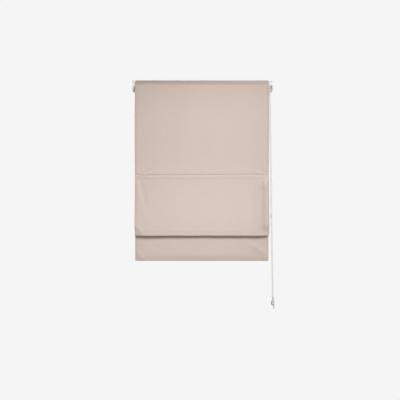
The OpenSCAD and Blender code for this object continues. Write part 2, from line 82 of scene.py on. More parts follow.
# A constant, or the output socket that feeds a node
Feed = object
Node = bpy.types.Node
Piece = bpy.types.Object
Point = tuple[float, float, float]
Socket = bpy.types.NodeSocket
Tree = bpy.types.NodeTree


class Body(str, Enum):
    """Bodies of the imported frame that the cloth, cords and chain ride on."""

    FRAME = "frame"
    UPPER = "upper_fold"
    LOWER = "lower_fold"


class Region(Enum):
    """Stretches of the cloth, from its top edge to the turned end of its hem."""

    PANEL = 0
    FRONT = 1
    FRONT_TURN = 2
    BACK_TURN = 3
    BACK_LOW = 4
    BACK_MIDDLE = 5
    BACK_TOP = 6
    CREST = 7
    FLAP = 8
    HEM_TURN = 9
    HEM_BACK = 10


BACKS = (Region.BACK_LOW, Region.BACK_MIDDLE, Region.BACK_TOP)


def linear(colour: str) -> tuple[float, float, float, float]:
    """Turns an sRGB hex colour into the linear colour that a shader takes.

    Args:
        colour: Six hex digits after a hash.

    Returns:
        Linear red, green and blue, with full alpha.
    """
    parts = [int(colour[i : i + 2], 16) / 255 for i in (1, 3, 5)]
    red, green, blue = (
        c / 12.92 if c <= 0.04045 else ((c + 0.055) / 1.055) ** 2.4 for c in parts
    )
    return red, green, blue, 1.0


def add_node(
    tree: Tree, kind: str, feeds: dict[str | int, Feed] | None = None, **settings: object
) -> Node:
    """Adds one shader node, with its settings and what feeds its sockets.

    Args:
        tree: The node tree that gets the node.
        kind: Blender's name for the kind of node.
        feeds: Input socket to a constant, or to the output socket that it is linked from.
        **settings: Properties of the node itself.

    Returns:
        The new node.
    """
    made = tree.nodes.new(kind)
    for name, value in settings.items():
        setattr(made, name, value)
    for socket, value in (feeds or {}).items():
        if isinstance(value, Socket):
            tree.links.new(value, made.inputs[socket])
        else:
            made.inputs[socket].default_value = value
    return made


def eased(t: Array | float) -> Array:
    """Smooth step of values that are clipped to the range from 0 to 1."""
    t = np.clip(t, 0.0, 1.0)
    return t * t * (3 - 2 * t)


def bell(distance: Array, width: float) -> Array:
    """Bell curve of height 1 that falls off over a width."""
    return np.exp(-((distance / width) ** 2))


@dataclass(frozen=True)
class Finish:
    """A surface finish: one colour, how rough it is, and a relief.

    Attributes:
        name: Real material and how it was made.
        colour: sRGB hex colour.
        roughness: Roughness of the shader.
        depth_mm: Real depth of the relief.
        strength: Share of the relief that shows.
    """

    name: str
    colour: str
    roughness: float = 0.5
    depth_mm: float = 0.02
    strength: float = 0.5

    def material(self) -> bpy.types.Material:
        """Gives the Blender material, made on first use.

        Returns:
            The material.
        """
        made = bpy.data.materials.get(self.name)
        if made is None:
            made = bpy.data.materials.new(self.name)
            made.use_nodes = True
            made.diffuse_color = linear(self.colour)
            tree = made.node_tree
            shader = tree.nodes["Principled BSDF"]
            shader.inputs["Base Color"].default_value = linear(self.colour)
            shader.inputs["Roughness"].default_value = self.roughness
            height = self.detail(tree, shader)
            feeds = {"Height": height, "Distance": self.depth_mm * MM, "Strength": self.strength}
            bump = add_node(tree, "ShaderNodeBump", feeds)
            tree.links.new(bump.outputs["Normal"], shader.inputs["Normal"])
        return made

    def detail(self, tree: Tree, shader: Node) -> Socket:
        """Adds the finish's own nodes and returns the height of its relief."""
        raise NotImplementedError


@dataclass(frozen=True)
class WovenFinish(Finish):
    """Plain woven cloth: crossing threads, with slubs that make uneven streaks.

    Attributes:
        thread_mm: Spacing of the threads, drawn a little coarser than the real cloth's.
        wander: How far the threads stray from straight lines.
        wander_detail: Finer layers of that straying.
        wander_scale: Scale of those layers.
        thread_range: Heights of the weave, from its gaps to the top of a thread.
        slub_mm: Width of a slub.
        slub_run_mm: Length of a slub.
        slub_range: Heights of crossing slubs, from the thinnest to the thickest.
        streak: Share of the shade in the darkest streak, the slubbed yarn's own uneven tone.
        gap: Share of the shade between the threads, which is painted shade in the hollows of the
            weave.
        shade: Colour of the streaks, and of the painted shade between the threads.
        doubled_shade: Colour where the cloth lies double at hems and seams, which is painted shade,
            as if less light came through two layers.
        sheen: Weight of the soft edge glow of fibres.
        sheen_roughness: Softness of that glow.
        specular: Weight of the highlight.
    """

    depth_mm: float = 0.12
    thread_mm: float = 0.9
    wander: float = 1.2
    wander_detail: float = 1.0
    wander_scale: float = 0.6
    thread_range: tuple[float, float] = (0.35, 1.0)
    slub_mm: float = 1.6
    slub_run_mm: float = 38.0
    slub_range: tuple[float, float] = (0.7, 1.3)
    streak: float = 0.2
    gap: float = 0.26
    shade: str = "#b9a498"
    doubled_shade: str = "#cbb4a8"
    sheen: float = 0.12
    sheen_roughness: float = 0.6
    specular: float = 0.2

    def detail(self, tree: Tree, shader: Node) -> Socket:
        """Adds threads, slubs, and painted shade where the cloth lies double.

        Args:
            tree: The material's node tree.
            shader: The material's shader.

        Returns:
            Height of the threads and slubs.
        """
        place = add_node(tree, "ShaderNodeUVMap", uv_map=CLOTH_UV).outputs["UV"]
        scale = 2 * math.pi / (WAVE_BANDS * self.thread_mm * MM)
        wave = {"Vector": place, "Scale": scale, "Distortion": self.wander}
        wave |= {"Detail": self.wander_detail, "Detail Scale": self.wander_scale}
        warp, weft = (
            add_node(tree, "ShaderNodeTexWave", wave, bands_direction=way).outputs["Fac"]
            for way in ("X", "Y")
        )
        weave = add_node(tree, "ShaderNodeMath", {0: warp, 1: weft}, operation="MAXIMUM").outputs[0]
        slubs = []
        for across, along in ((self.slub_run_mm, self.slub_mm), (self.slub_mm, self.slub_run_mm)):
            pitch = (1 / (across * MM), 1 / (along * MM), 1.0)
            pair = {0: place, 1: pitch}
            grid = add_node(tree, "ShaderNodeVectorMath", pair, operation="MULTIPLY")
            noise = {"Vector": grid.outputs[0], "Scale": 1.0, "Detail": 2.0}
            slubs.append(add_node(tree, "ShaderNodeTexNoise", noise).outputs["Fac"])
        pair = dict(enumerate(slubs))
        uneven = add_node(tree, "ShaderNodeMath", pair, operation="ADD").outputs[0]
        # the streaks are the yarn's own tone; the darker colour between the threads is painted
        # shade
        shares = []
        for value, (low, high), ends in (
            (uneven, self.slub_range, (0.0, self.streak)),
            (weave, self.thread_range, (self.gap, 0.0)),
        ):
            feeds = {"Value": value, "From Min": low, "From Max": high}
            feeds |= {"To Min": ends[0], "To Max": ends[1]}
            shares.append(add_node(tree, "ShaderNodeMapRange", feeds).outputs[0])
        dark = add_node(tree, "ShaderNodeMath", dict(enumerate(shares)), operation="ADD")
        # painted shade: the share of two layers darkens and warms the cloth's colour
        layers = add_node(tree, "ShaderNodeAttribute", attribute_name=LAYER_SHADE_ATTRIBUTE).outputs["Fac"]
        layer_shade = {"Factor": layers, "A": linear(self.colour), "B": linear(self.doubled_shade)}
        cloth = add_node(tree, "ShaderNodeMix", layer_shade, data_type="RGBA")
        shade = {"Factor": dark.outputs[0], "A": cloth.outputs["Result"], "B": linear(self.shade)}
        colour = add_node(tree, "ShaderNodeMix", shade, data_type="RGBA")
        tree.links.new(colour.outputs["Result"], shader.inputs["Base Color"])
        shader.inputs["Sheen Weight"].default_value = self.sheen
        shader.inputs["Sheen Roughness"].default_value = self.sheen_roughness
        shader.inputs["Specular IOR Level"].default_value = self.specular
        return add_node(tree, "ShaderNodeMath", {0: weave, 1: uneven}, operation="ADD").outputs[0]


@dataclass(frozen=True)
class GrainFinish(Finish):
    """A finish with an even fine grain: moulded plastic, powder coat, tape pile or zinc.

    Attributes:
        grain_mm: Size of the grain.
        grain_range: Heights of the grain, from hollows to peaks.
        wear: How much rougher the peaks are than the finish, and the hollows smoother.
        metallic: 1 for bare metal, 0 for anything else.
        milky: Weight of light that scatters below the surface.
        scatter_mm: How far that light goes.
        stretch: Share of the grain's pitch along X, under 1 for lines drawn along the piece.
    """

    strength: float = 0.3
    grain_mm: float = 0.6
    grain_range: tuple[float, float] = (0.3, 0.7)
    wear: float = 0.06
    metallic: float = 0.0
    milky: float = 0.0
    scatter_mm: float = 1.5
    stretch: float = 1.0

    def detail(self, tree: Tree, shader: Node) -> Socket:
        """Adds the grain and how the finish takes light.

        Args:
            tree: The material's node tree.
            shader: The material's shader.

        Returns:
            Height of the grain.
        """
        place = add_node(tree, "ShaderNodeTexCoord").outputs["Object"]
        pitch = 1 / (self.grain_mm * MM)
        lengths = {0: place, 1: (pitch * self.stretch, pitch, pitch)}
        grid = add_node(tree, "ShaderNodeVectorMath", lengths, operation="MULTIPLY")
        noise = {"Vector": grid.outputs[0], "Scale": 1.0, "Detail": 3.0}
        grain = add_node(tree, "ShaderNodeTexNoise", noise).outputs["Fac"]
        feeds = {
            "Value": grain,
            "From Min": self.grain_range[0],
            "From Max": self.grain_range[1],
            "To Min": self.roughness - self.wear,
            "To Max": self.roughness + self.wear,
        }
        worn = add_node(tree, "ShaderNodeMapRange", feeds)
        tree.links.new(worn.outputs[0], shader.inputs["Roughness"])
        shader.inputs["Metallic"].default_value = self.metallic
        if self.milky:
            shader.inputs["Subsurface Weight"].default_value = self.milky
            shader.inputs["Subsurface Scale"].default_value = self.scatter_mm * MM
        return grain


@dataclass(frozen=True)
class BraidFinish(Finish):
    """Braided cord: slanting strands that ring the cord.

    Attributes:
        strand_mm: Spacing of the strands along the cord.
    """

    depth_mm: float = 0.15
    strength: float = 0.6
    strand_mm: float = 0.9

    def detail(self, tree: Tree, shader: Node) -> Socket:
        """Adds the strands as slanting bands.

        Args:
            tree: The material's node tree.
            shader: The material's shader.

        Returns:
            Height of the strands.
        """
        place = add_node(tree, "ShaderNodeTexCoord").outputs["Object"]
        wave = {"Vector": place, "Scale": 2 * math.pi / (WAVE_BANDS * self.strand_mm * MM)}
        return add_node(tree, "ShaderNodeTexWave", wave, bands_direction="DIAGONAL").outputs["Fac"]


# Face cloth: slubbed plain weave, matt and warm, drawn darker with painted shade where it lies
# double
LINEN = WovenFinish("linen_plain_weave", "#d6c6bc", 0.88)
# Lining: close cotton weave, paler and smoother than the face cloth, with its own painted shade
# where it lies double
LINING = WovenFinish(
    "cotton_lining_close_weave",
    "#e9e3da",
    0.8,
    thread_mm=0.6,
    slub_run_mm=14.0,
    shade="#d6cec3",
    doubled_shade="#dcd3c8",
    depth_mm=0.06,
)
# Sewing thread: twisted, a little darker than the cloth that it pulls in
THREAD = BraidFinish("polyester_thread_twisted", "#c3afa3", 0.7, strand_mm=0.5, depth_mm=0.05)
# Rail: powder coat with a faint orange peel and a soft highlight, its colour darkened to a warm
# grey as painted shade, as if the head of a window recess shaded it
RAIL = GrainFinish("aluminium_powder_coated_painted_shade", "#aaa29e", 0.45, grain_mm=0.9, depth_mm=0.02)
# White mouldings: satin skin with a faint spark-eroded grain
MOULDED = GrainFinish(
    "acetal_moulded_satin", "#efeeeb", 0.42, grain_mm=0.5, depth_mm=0.015, milky=0.05
)
# Beads: tumbled, so glossier than the mouldings
BEADS = GrainFinish("acetal_beads_tumbled", "#efedea", 0.28, grain_mm=0.8, depth_mm=0.01, milky=0.1)
# Milky mouldings: natural plastic that light enters
MILKY = GrainFinish(
    "polyamide_moulded_natural", "#dfe3e4", 0.3, grain_mm=0.6, depth_mm=0.01, milky=0.3
)
# Zinc: bright plating with a slight mottle
ZINC = GrainFinish("steel_zinc_plated", "#b9bcc0", 0.35, grain_mm=1.2, depth_mm=0.02, metallic=1.0)
# Drawn metal: fine lines along the piece
DRAWN = GrainFinish(
    "aluminium_drawn", "#c4c6c8", 0.32, grain_mm=0.3, depth_mm=0.01, metallic=1.0, stretch=0.03
)
# Rod: pultruded glass fibre with lines along it
GLASSFIBRE = GrainFinish(
    "glassfibre_pultruded", "#e6e2d9", 0.5, grain_mm=0.3, depth_mm=0.02, stretch=0.04
)
# Tape: woven, with a short pile that takes no highlight
TAPE = GrainFinish(
    "tape_woven_polyester", "#e8e4dc", 0.9, grain_mm=0.45, depth_mm=0.2, strength=0.8
)
# Cord: tight braid
CORD = BraidFinish("cord_braided_polyester", "#ebe8e2", 0.75)


def new_piece(
    name: str,
    points: Array,
    faces: Iterable[Sequence[int]],
    finishes: Sequence[Finish],
    slots: Sequence[int] | None = None,
) -> Piece:
    """Makes a smooth mesh piece from points in millimetres.

    Args:
        name: Name of the piece.
        points: Points in millimetres, one row each.
        faces: Indices of each face's points.
        finishes: Finishes of the material slots, in order.
        slots: Material slot of each face, or None where all take the first.

    Returns:
        The new object, linked to the scene.
    """
    mesh = bpy.data.meshes.new(name)
    corners = [list(map(int, face)) for face in faces]
    mesh.from_pydata((np.asarray(points, float) * MM).tolist(), [], corners)
    for finish in finishes:
        mesh.materials.append(finish.material())
    if slots is not None:
        mesh.polygons.foreach_set("material_index", np.asarray(slots, np.int32))
    mesh.polygons.foreach_set("use_smooth", np.ones(len(mesh.polygons), bool))
    mesh.update()
    piece = bpy.data.objects.new(name, mesh)
    bpy.context.scene.collection.objects.link(piece)
    return piece


def tube(path: Array, radius: float, sides: int, start: int = 0) -> tuple[Array, list[list[int]]]:
    """Sweeps a round tube with closed ends along a path.

    Args:
        path: Points of the tube's axis, in millimetres.
        radius: Radius of the tube.
        sides: Corners of the tube's section.
        start: Index that the first point gets.

    Returns:
        The tube's points and its faces.
    """
    way = np.gradient(path, axis=0)
    way /= np.linalg.norm(way, axis=1)[:, None]
    side = np.cross(way, TUBE_SIDE)
    side /= np.linalg.norm(side, axis=1)[:, None]
    other = np.cross(way, side)
    turn = np.arange(sides) * 2 * math.pi / sides
    cos, sin = (wave(turn)[None, :, None] for wave in (np.cos, np.sin))
    ring = cos * side[:, None] + sin * other[:, None]
    points = (path[:, None] + radius * ring).reshape(-1, 3)
    faces = []
    for i in range(len(path) - 1):
        for j in range(sides):
            k = (j + 1) % sides
            low, high = start + i * sides, start + (i + 1) * sides
            faces.append([low + j, low + k, high + k, high + j])
    faces.append([start + j for j in reversed(range(sides))])
    faces.append([start + (len(path) - 1) * sides + j for j in range(sides)])
    return points, faces


@dataclass
class Waves:
    """A sum of long sine waves across the cloth, the same on every run.

    Attributes:
        lengths: Wave lengths, in millimetres.
        rng: Source of the phases.
        phases: Where each wave begins.
    """

    lengths: Sequence[float]
    rng: np.random.Generator
    phases: Array = field(init=False)

    def __post_init__(self) -> None:
        """Draws the phases."""
        self.phases = self.rng.uniform(0, 2 * math.pi, len(self.lengths))

    def at(self, x: Array) -> Array:
        """Adds up the waves, within about 1 either way.

        Args:
            x: Places across the cloth, in millimetres.

        Returns:
            The waves' height at each place.
        """
        waves = zip(self.lengths, self.phases)
        parts = [np.sin(2 * math.pi * x / length + phase) for length, phase in waves]
        return sum(parts) / math.sqrt(len(parts))


@dataclass(frozen=True)
class Crease:
    """A soft crease along a straight line on the cloth's face.

    Attributes:
        head: X and Z of one end, in millimetres.
        tail: X and Z of the other end.
        rise: How far the crease stands forward; below zero it is a valley.
        width: Half width of the crease.
        trough: Depth of the dip on the right of the way from head to tail.
        tip: How far along its fade the crease begins and ends.
        fade: How sharply it fades towards its ends.
        trough_off: Distance of the dip from the crease, in half widths.
        trough_width: Half width of the dip, in half widths of the crease.
    """

    head: tuple[float, float]
    tail: tuple[float, float]
    rise: float
    width: float
    trough: float = 0.0
    tip: float = 0.1
    fade: float = 1.5
    trough_off: float = 1.7
    trough_width: float = 1.2

    def at(self, x: Array, z: Array) -> Array:
        """Works out how far the crease brings the cloth forward.

        Args:
            x: Places across the cloth.
            z: Heights on the cloth.

        Returns:
            How far the cloth comes forward.
        """
        head = np.array(self.head)
        way = np.array(self.tail) - head
        length = float(np.linalg.norm(way))
        share = ((x - head[0]) * way[0] + (z - head[1]) * way[1]) / length**2
        off = ((x - head[0]) * way[1] - (z - head[1]) * way[0]) / length
        life = np.sin(math.pi * np.clip(self.tip + (1 - 2 * self.tip) * share, 0, 1)) ** self.fade
        dip = self.trough * bell(off - self.trough_off * self.width, self.trough_width * self.width)
        return life * (self.rise * bell(off, self.width) - dip)


@dataclass(frozen=True)
class Curl:
    """A corner of the cloth that bends away from the room.

    Attributes:
        corner: X and Z of the corner, in millimetres.
        reach: How far along X and Z the bend begins.
        depth: How far the corner itself goes back.
        power: Sharpness of the bend, under 1 for a softer corner.
    """

    corner: tuple[float, float]
    reach: tuple[float, float]
    depth: float
    power: float = 0.8

    def at(self, x: Array, z: Array) -> Array:
        """Works out how far the curl takes the cloth back.

        Args:
            x: Places across the cloth.
            z: Heights on the cloth.

        Returns:
            How far the cloth goes back.
        """
        (corner_x, corner_z), (reach_x, reach_z) = self.corner, self.reach
        near = 1 - np.abs(x - corner_x) / reach_x - np.abs(z - corner_z) / reach_z
        return self.depth * eased(near) ** self.power


@dataclass(frozen=True)
class Ramp:
    """A smooth rise from 0 to 1 in one direction.

    Attributes:
        start: Where the rise begins, in millimetres.
        run: Length of the rise; below zero it rises the other way.
    """

    start: float
    run: float

    def at(self, place: Array) -> Array:
        """Returns the share of the rise at each place."""
        return eased((place - self.start) / self.run)


@dataclass(frozen=True)
class Roll:
    """A soft roll that runs level across the cloth.

    Attributes:
        rise: Height of the roll; below zero it is a groove.
        drop: How far it lies below the line that it belongs to, in millimetres.
        width: Half width of the roll.
    """

    rise: float
    drop: float
    width: float

    def at(self, below: Array) -> Array:
        """Returns the roll's height at distances below its line."""
        return self.rise * bell(below - self.drop, self.width)


@dataclass(frozen=True)
class Ripple:
    """How a set of waves lies on a stretch of the cloth.

    Attributes:
        height: Height of the waves, in millimetres.
        squeeze: How many times shorter they are than drawn.
        slant: How far they shift along X from the start of the stretch to its end.
        shift: How far they shift along X as a whole.
    """

    height: float
    squeeze: float = 1.0
    slant: float = 0.0
    shift: float = 0.0

    def at(self, waves: Waves, x: Array, share: Array) -> Array:
        """Returns the waves' height across the cloth at each row's share of its stretch."""
        return self.height * waves.at(self.squeeze * x + self.slant * share + self.shift)


@dataclass(frozen=True)
class Spacing:
    """Spacing of the rows along a stretch of the cloth, in millimetres.

    Attributes:
        fine: Spacing near both ends.
        coarse: Spacing between them.
        margin: How far from an end the fine spacing reaches.
    """

    fine: float
    coarse: float
    margin: float

    def rows(self, length: float) -> Array:
        """Spreads rows along a stretch.

        Args:
            length: Length of the stretch.

        Returns:
            Distance of each row from the start.
        """
        head = np.arange(0.0, self.margin, self.fine)
        count = max(2, round((length - 2 * self.margin) / self.coarse) + 1)
        middle = np.linspace(self.margin, length - self.margin, count)
        return np.concatenate([head, middle, length - head[::-1]])


@dataclass(frozen=True)
class Strip:
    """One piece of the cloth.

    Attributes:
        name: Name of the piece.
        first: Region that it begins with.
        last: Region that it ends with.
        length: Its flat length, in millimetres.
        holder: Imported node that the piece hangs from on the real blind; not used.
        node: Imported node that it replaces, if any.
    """

    name: str
    first: Region
    last: Region
    length: float
    holder: str
    node: str | None = None


@dataclass
class Cloth:
    """The blind's cloth, from the top edge over the open fold to the weighted hem.

    Sizes are in millimetres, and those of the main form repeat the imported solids'. The pieces
    share one surface. They part at the two rods, and behind the fold above its bottom edge.
    """

    # Main form, from the top edge down, with the side hems last
    half_width: float = 305.0
    thick: float = 1.2
    face_y: float = -19.5
    top_z: float = -12.0
    panel: float = 420.0
    belly: float = 7.0
    upper_z: float = -432.0
    fold_z: float = -710.0
    fold_reach: float = 14.0
    fold_radius: float = 8.0
    fold_press: float = 0.38
    fold_sag: float = 0.5
    crest_gap: float = 5.0
    crest_radius: float = 1.1
    lower_z: float = -588.0
    flap_lean: float = 6.0
    hem_z: float = -828.0
    hem_radius: float = 2.4
    hem_height: float = 36.0
    side_hem: float = 26.0
    side_hem_thick: float = 0.8
    edge_round: float = 0.5
    # Height of the upper panel that gathers when the upper rod lifts
    gather: float = 200.0

    # Mesh: its columns, the rows of each stretch, and where the back of the fold parts
    columns: int = 236
    crowding: float = 1.08
    turn_rows: int = 9
    hem_rows: int = 12
    panel_rows: Spacing = Spacing(1.6, 6.0, 40.0)
    front_rows: Spacing = Spacing(1.6, 5.0, 40.0)
    back_rows: Spacing = Spacing(2.0, 5.0, 12.0)
    flap_rows: Spacing = Spacing(2.0, 4.5, 40.0)
    back_splits: tuple[float, float] = (0.6, 0.88)

    # Stitches: their size, how deep each point of one lies, and their lines
    stitch_pitch: float = 4.2
    stitch_length: float = 3.0
    stitch_radius: float = 0.24
    stitch_sides: int = 5
    stitch_sink: tuple[float, ...] = (-1.0, 0.5, 0.8, 0.5, -1.0)
    stitch_inset: float = 6.0
    header_stitches: tuple[float, float] = (4.0, 20.0)
    seam_stitches: float = 0.9
    hem_stitches: float = 3.0

    # Waves of the cloth: their lengths, those of the puckers last, and how each part takes them
    slow_waves: tuple[float, ...] = (310.0, 173.0, 121.0)
    drift_waves: tuple[float, ...] = (420.0, 237.0, 151.0)
    small_waves: tuple[float, ...] = (46.0, 31.0, 21.0, 14.5)
    panel_sway: Ripple = Ripple(0.8, slant=70.0)
    panel_ripple: Ripple = Ripple(0.3, 1.9, slant=-90.0)
    fold_sway: Ripple = Ripple(0.7)
    fold_ripple: Ripple = Ripple(0.25, 1.7)
    fold_dip: Ripple = Ripple(0.3, 0.8, shift=60.0)
    fold_wobble: Ripple = Ripple(0.12, 2.3)
    flap_sway: Ripple = Ripple(1.0, slant=50.0)
    droop_power: float = 1.6

    # Step below the header, by distances below the top edge
    header_step: float = 1.4
    header_head: Ramp = Ramp(11.0, 5.0)
    header_foot: Ramp = Ramp(70.0, -50.0)

    # Seam at the upper rod: its ends, its tilt, its rolls and its puckers
    seam_left: float = -278.0
    seam_right: float = 299.0
    seam_start: Ramp = Ramp(-12.0, 12.0)
    seam_stop: Ramp = Ramp(5.0, -8.0)
    seam_tilt: float = 2.0
    tilt_reach: float = 32.0
    seam_groove: Roll = Roll(1.0, 0.0, 2.4)
    seam_rolls: tuple[Roll, ...] = (
        Roll(1.1, 10.0, 8.5),
        Roll(0.4, -13.0, 10.0),
        Roll(-0.25, 20.0, 2.6),
    )
    pucker_height: float = 0.2
    pucker_bias: float = 0.6
    pucker_reach: float = 8.0
    star_height: float = 1.7
    star_reach: float = 13.0
    star_eye: float = 5.0
    star_arms: tuple[int, int] = (5, 6)
    star_twists: tuple[float, float] = (0.9, 0.3)

    # Steps of the side hems that show through the face
    panel_step: float = 0.3
    front_step: float = 0.6
    flap_step: float = 0.25
    step_run: float = 6.0
    step_even: float = 0.7
    step_swing: float = 90.0

    # Fold: its stiff right side, the pressed line above its bottom, and its ends
    ridge_head: Ramp = Ramp(4.0, 50.0)
    ridge_foot: Ramp = Ramp(12.0, 40.0)
    ridge_rises: tuple[tuple[float, Ramp], ...] = (
        (5.5, Ramp(225.0, 72.0)),
        (6.6, Ramp(266.0, 32.0)),
    )
    ridge_edge: Ramp = Ramp(299.0, 8.0)
    pressed_line: Roll = Roll(0.45, -25.0, 3.0)
    pressed_middle: float = -40.0
    pressed_end: Ramp = Ramp(250.0, -60.0)
    end_power: float = 3.2
    right_end: Ramp = Ramp(262.0, 43.0)
    right_tip: Ramp = Ramp(290.0, 15.0)
    left_end: Ramp = Ramp(-288.0, -17.0)
    right_push: float = 0.8
    right_rise: float = 0.8
    tip_rise: float = 4.2
    left_rise: float = 2.2
    left_tuck: float = 0.9
    fold_curl: Curl = Curl((-306.0, -711.0), (46.0, 52.0), 4.5)

    # Flap: its bulge above the hem and the swell of its right side
    flap_bulge: float = 5.0
    bulge_start: float = 12.0
    bulge_foot: float = 28.0
    bulge_loss: float = 0.65
    flap_swell: float = 2.5
    flap_side: Ramp = Ramp(215.0, 85.0)

    # Where the side hems lie flat for the header tape, the rod pockets and the bottom bar
    tape_clear: Ramp = Ramp(26.0, 6.0)
    upper_clear: Roll = Roll(1.0, 0.0, 12.0)
    lower_clear: Roll = Roll(1.0, 9.0, 14.0)
    hem_clear: Ramp = Ramp(2.0, 8.0)

    # Painted shade of cloth that lies double: darker and warmer at the header, the seam, the hem
    # and the side edges, as if less light came through two layers
    header_shade: Ramp = Ramp(12.5, -2.0)
    seam_shade: Roll = Roll(0.9, 0.0, 2.2)
    hem_shade: float = 0.06
    hem_foot_shade: float = 0.3
    hem_foot: Ramp = Ramp(16.0, -12.0)
    hem_shade_run: float = 2.0
    side_shade: float = 0.55
    side_shade_edge: Ramp = Ramp(11.0, -5.0)

    # Pieces, from the top down
    strips: tuple[Strip, ...] = (
        Strip("cloth_upper_panel", Region.PANEL, Region.PANEL, 420.0, "loop_tape", "upper_cloth"),
        Strip(
            "cloth_fold", Region.FRONT, Region.BACK_TURN, 305.0, "upper_rod_pocket", "fold_cloth"
        ),
        Strip("cloth_fold_back_low", Region.BACK_LOW, Region.BACK_LOW, 68.0, "lower_rod_pocket"),
        Strip(
            "cloth_fold_back_middle",
            Region.BACK_MIDDLE,
            Region.BACK_MIDDLE,
            31.0,
            "lower_rod_pocket",
        ),
        Strip("cloth_fold_back_top", Region.BACK_TOP, Region.BACK_TOP, 18.0, "lower_rod_pocket"),
        Strip(
            "cloth_flap", Region.CREST, Region.HEM_BACK, 282.0, "lower_rod_pocket", "lower_cloth"
        ),
    )

    # Creases of each part
    fold_creases: tuple[Crease, ...] = (
        Crease((-284.0, -434.0), (-254.0, -590.0), -1.5, 12.0, -1.5),
        Crease((-303.0, -656.0), (-264.0, -704.0), 1.7, 10.0),
        Crease((-262.0, -438.0), (-214.0, -454.0), 0.6, 5.0),
        Crease((294.0, -440.0), (280.0, -490.0), 1.0, 6.0),
    )
    panel_creases: tuple[Crease, ...] = (
        Crease((-276.0, -430.0), (-206.0, -402.0), -0.9, 6.0, -0.6),
        Crease((300.0, -431.0), (250.0, -408.0), -1.1, 6.0, 0.6),
        Crease((-276.0, -82.0), (-274.0, -192.0), 0.5, 7.0),
    )
    flap_creases: tuple[Crease, ...] = (
        Crease((215.0, -750.0), (306.0, -800.0), 2.6, 15.0),
        Crease((-306.0, -774.0), (-264.0, -826.0), 2.0, 12.0),
        Crease((306.0, -794.0), (276.0, -826.0), 1.4, 9.0),
    )

    # Worked out by build: the middle line row by row, then the surface point by point
    path: Array = field(init=False)
    region: Array = field(init=False)
    share: Array = field(init=False)
    along: Array = field(init=False)
    x: Array = field(init=False)
    out: Array = field(init=False)
    outer: Array = field(init=False)
    inner: Array = field(init=False)
    # share of painted shade where the cloth lies double, point by point
    layers: Array = field(init=False)

    def build(self) -> None:
        self._course()
        self._surface()
        made = []
        for strip in self.strips:
            piece = self._piece(strip)
            if strip.node:
                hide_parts(strip.node)
            made.append(piece)
            LOG.info("%s: %d faces", strip.name, len(piece.data.polygons))
        for piece, (above, below, one, two) in zip(made, self._bends()):
            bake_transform(piece)
        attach(made[-1], Body.LOWER.value)

    def _bends(self) -> list[tuple[Body, Body, tuple[float, float], tuple[float, float]]]:
        """Finds how the hanging pieces share the motion of what they hang between.

        Returns:
            The two bodies of each piece, and two heights with the second body's share there.
        """
        fold = ((self.upper_z, 0.0), (self.fold_z - self.fold_sag, 0.5))
        start, end = (place.z / MM for place in self._bend_line(*fold))
        ends = (Region.BACK_TURN, *BACKS)
        heights = [float(self.path[self.region == region.value, 1].max()) for region in ends]
        low, crest = heights[0], heights[-1]
        share = float(eased((low - start) / (end - start)))
        marks = [(z, share + (1 - share) * (z - low) / (crest - low)) for z in heights]
        return [
            (Body.FRAME, Body.UPPER, (self.upper_z + self.gather, 0.0), (self.upper_z, 1.0)),
            (Body.UPPER, Body.LOWER, *fold),
            *((Body.UPPER, Body.LOWER, one, two) for one, two in zip(marks, marks[1:])),
        ]

    def _bend_line(
        self, one: tuple[float, float], two: tuple[float, float]
    ) -> tuple[Vector, Vector]:
        """Finds the vertical line whose smooth step passes through two heights at their shares.

        Args:
            one: A height and the share there.
            two: Another height and its share.

        Returns:
            The line's start and end, in metres.
        """
        (z1, share1), (z2, share2) = one, two
        t1, t2 = (0.5 - math.sin(math.asin(1 - 2 * share) / 3) for share in (share1, share2))
        length = (z2 - z1) / (t2 - t1)
        start = z1 - t1 * length
        return Vector((0, self.face_y, start)) * MM, Vector((0, self.face_y, start + length)) * MM

    def _turn(
        self, y: float, z: float, radius: float, first: float, last: float, square: float = 1.0
    ) -> tuple[Array, Array]:
        """Points on an arc in Y and Z, without its first point.

        Args:
            y: Middle of the arc along Y.
            z: Middle of the arc along Z.
            radius: Radius of the arc.
            first: Angle that the arc begins at, in degrees.
            last: Angle that it ends at.
            square: 1 for a round turn, less for one that is pressed towards a square corner.

        Returns:
            Y and Z of the points.
        """
        angles = np.radians(np.linspace(first, last, self.turn_rows + 1)[1:])
        over, up = (np.sign(c) * np.abs(c) ** square for c in (np.cos(angles), np.sin(angles)))
        return y + radius * over, z + radius * up

    def _course(self) -> None:
        """Lays out the cloth's middle line in Y and Z, row by row."""
        rows: list[Array] = []
        tags: list[tuple[Region, Array]] = []

        def put(region: Region, y: Array, z: Array, share: Array) -> None:
            """Adds one stretch of rows with each row's share of the stretch."""
            rows.append(np.stack([y, z], 1))
            tags.append((region, share))

        def after_first(spacing: Spacing, length: float) -> tuple[Array, Array]:
            """Distances along a stretch of the rows after its first, and their shares of it."""
            d = spacing.rows(length)[1:]
            return d, d / length

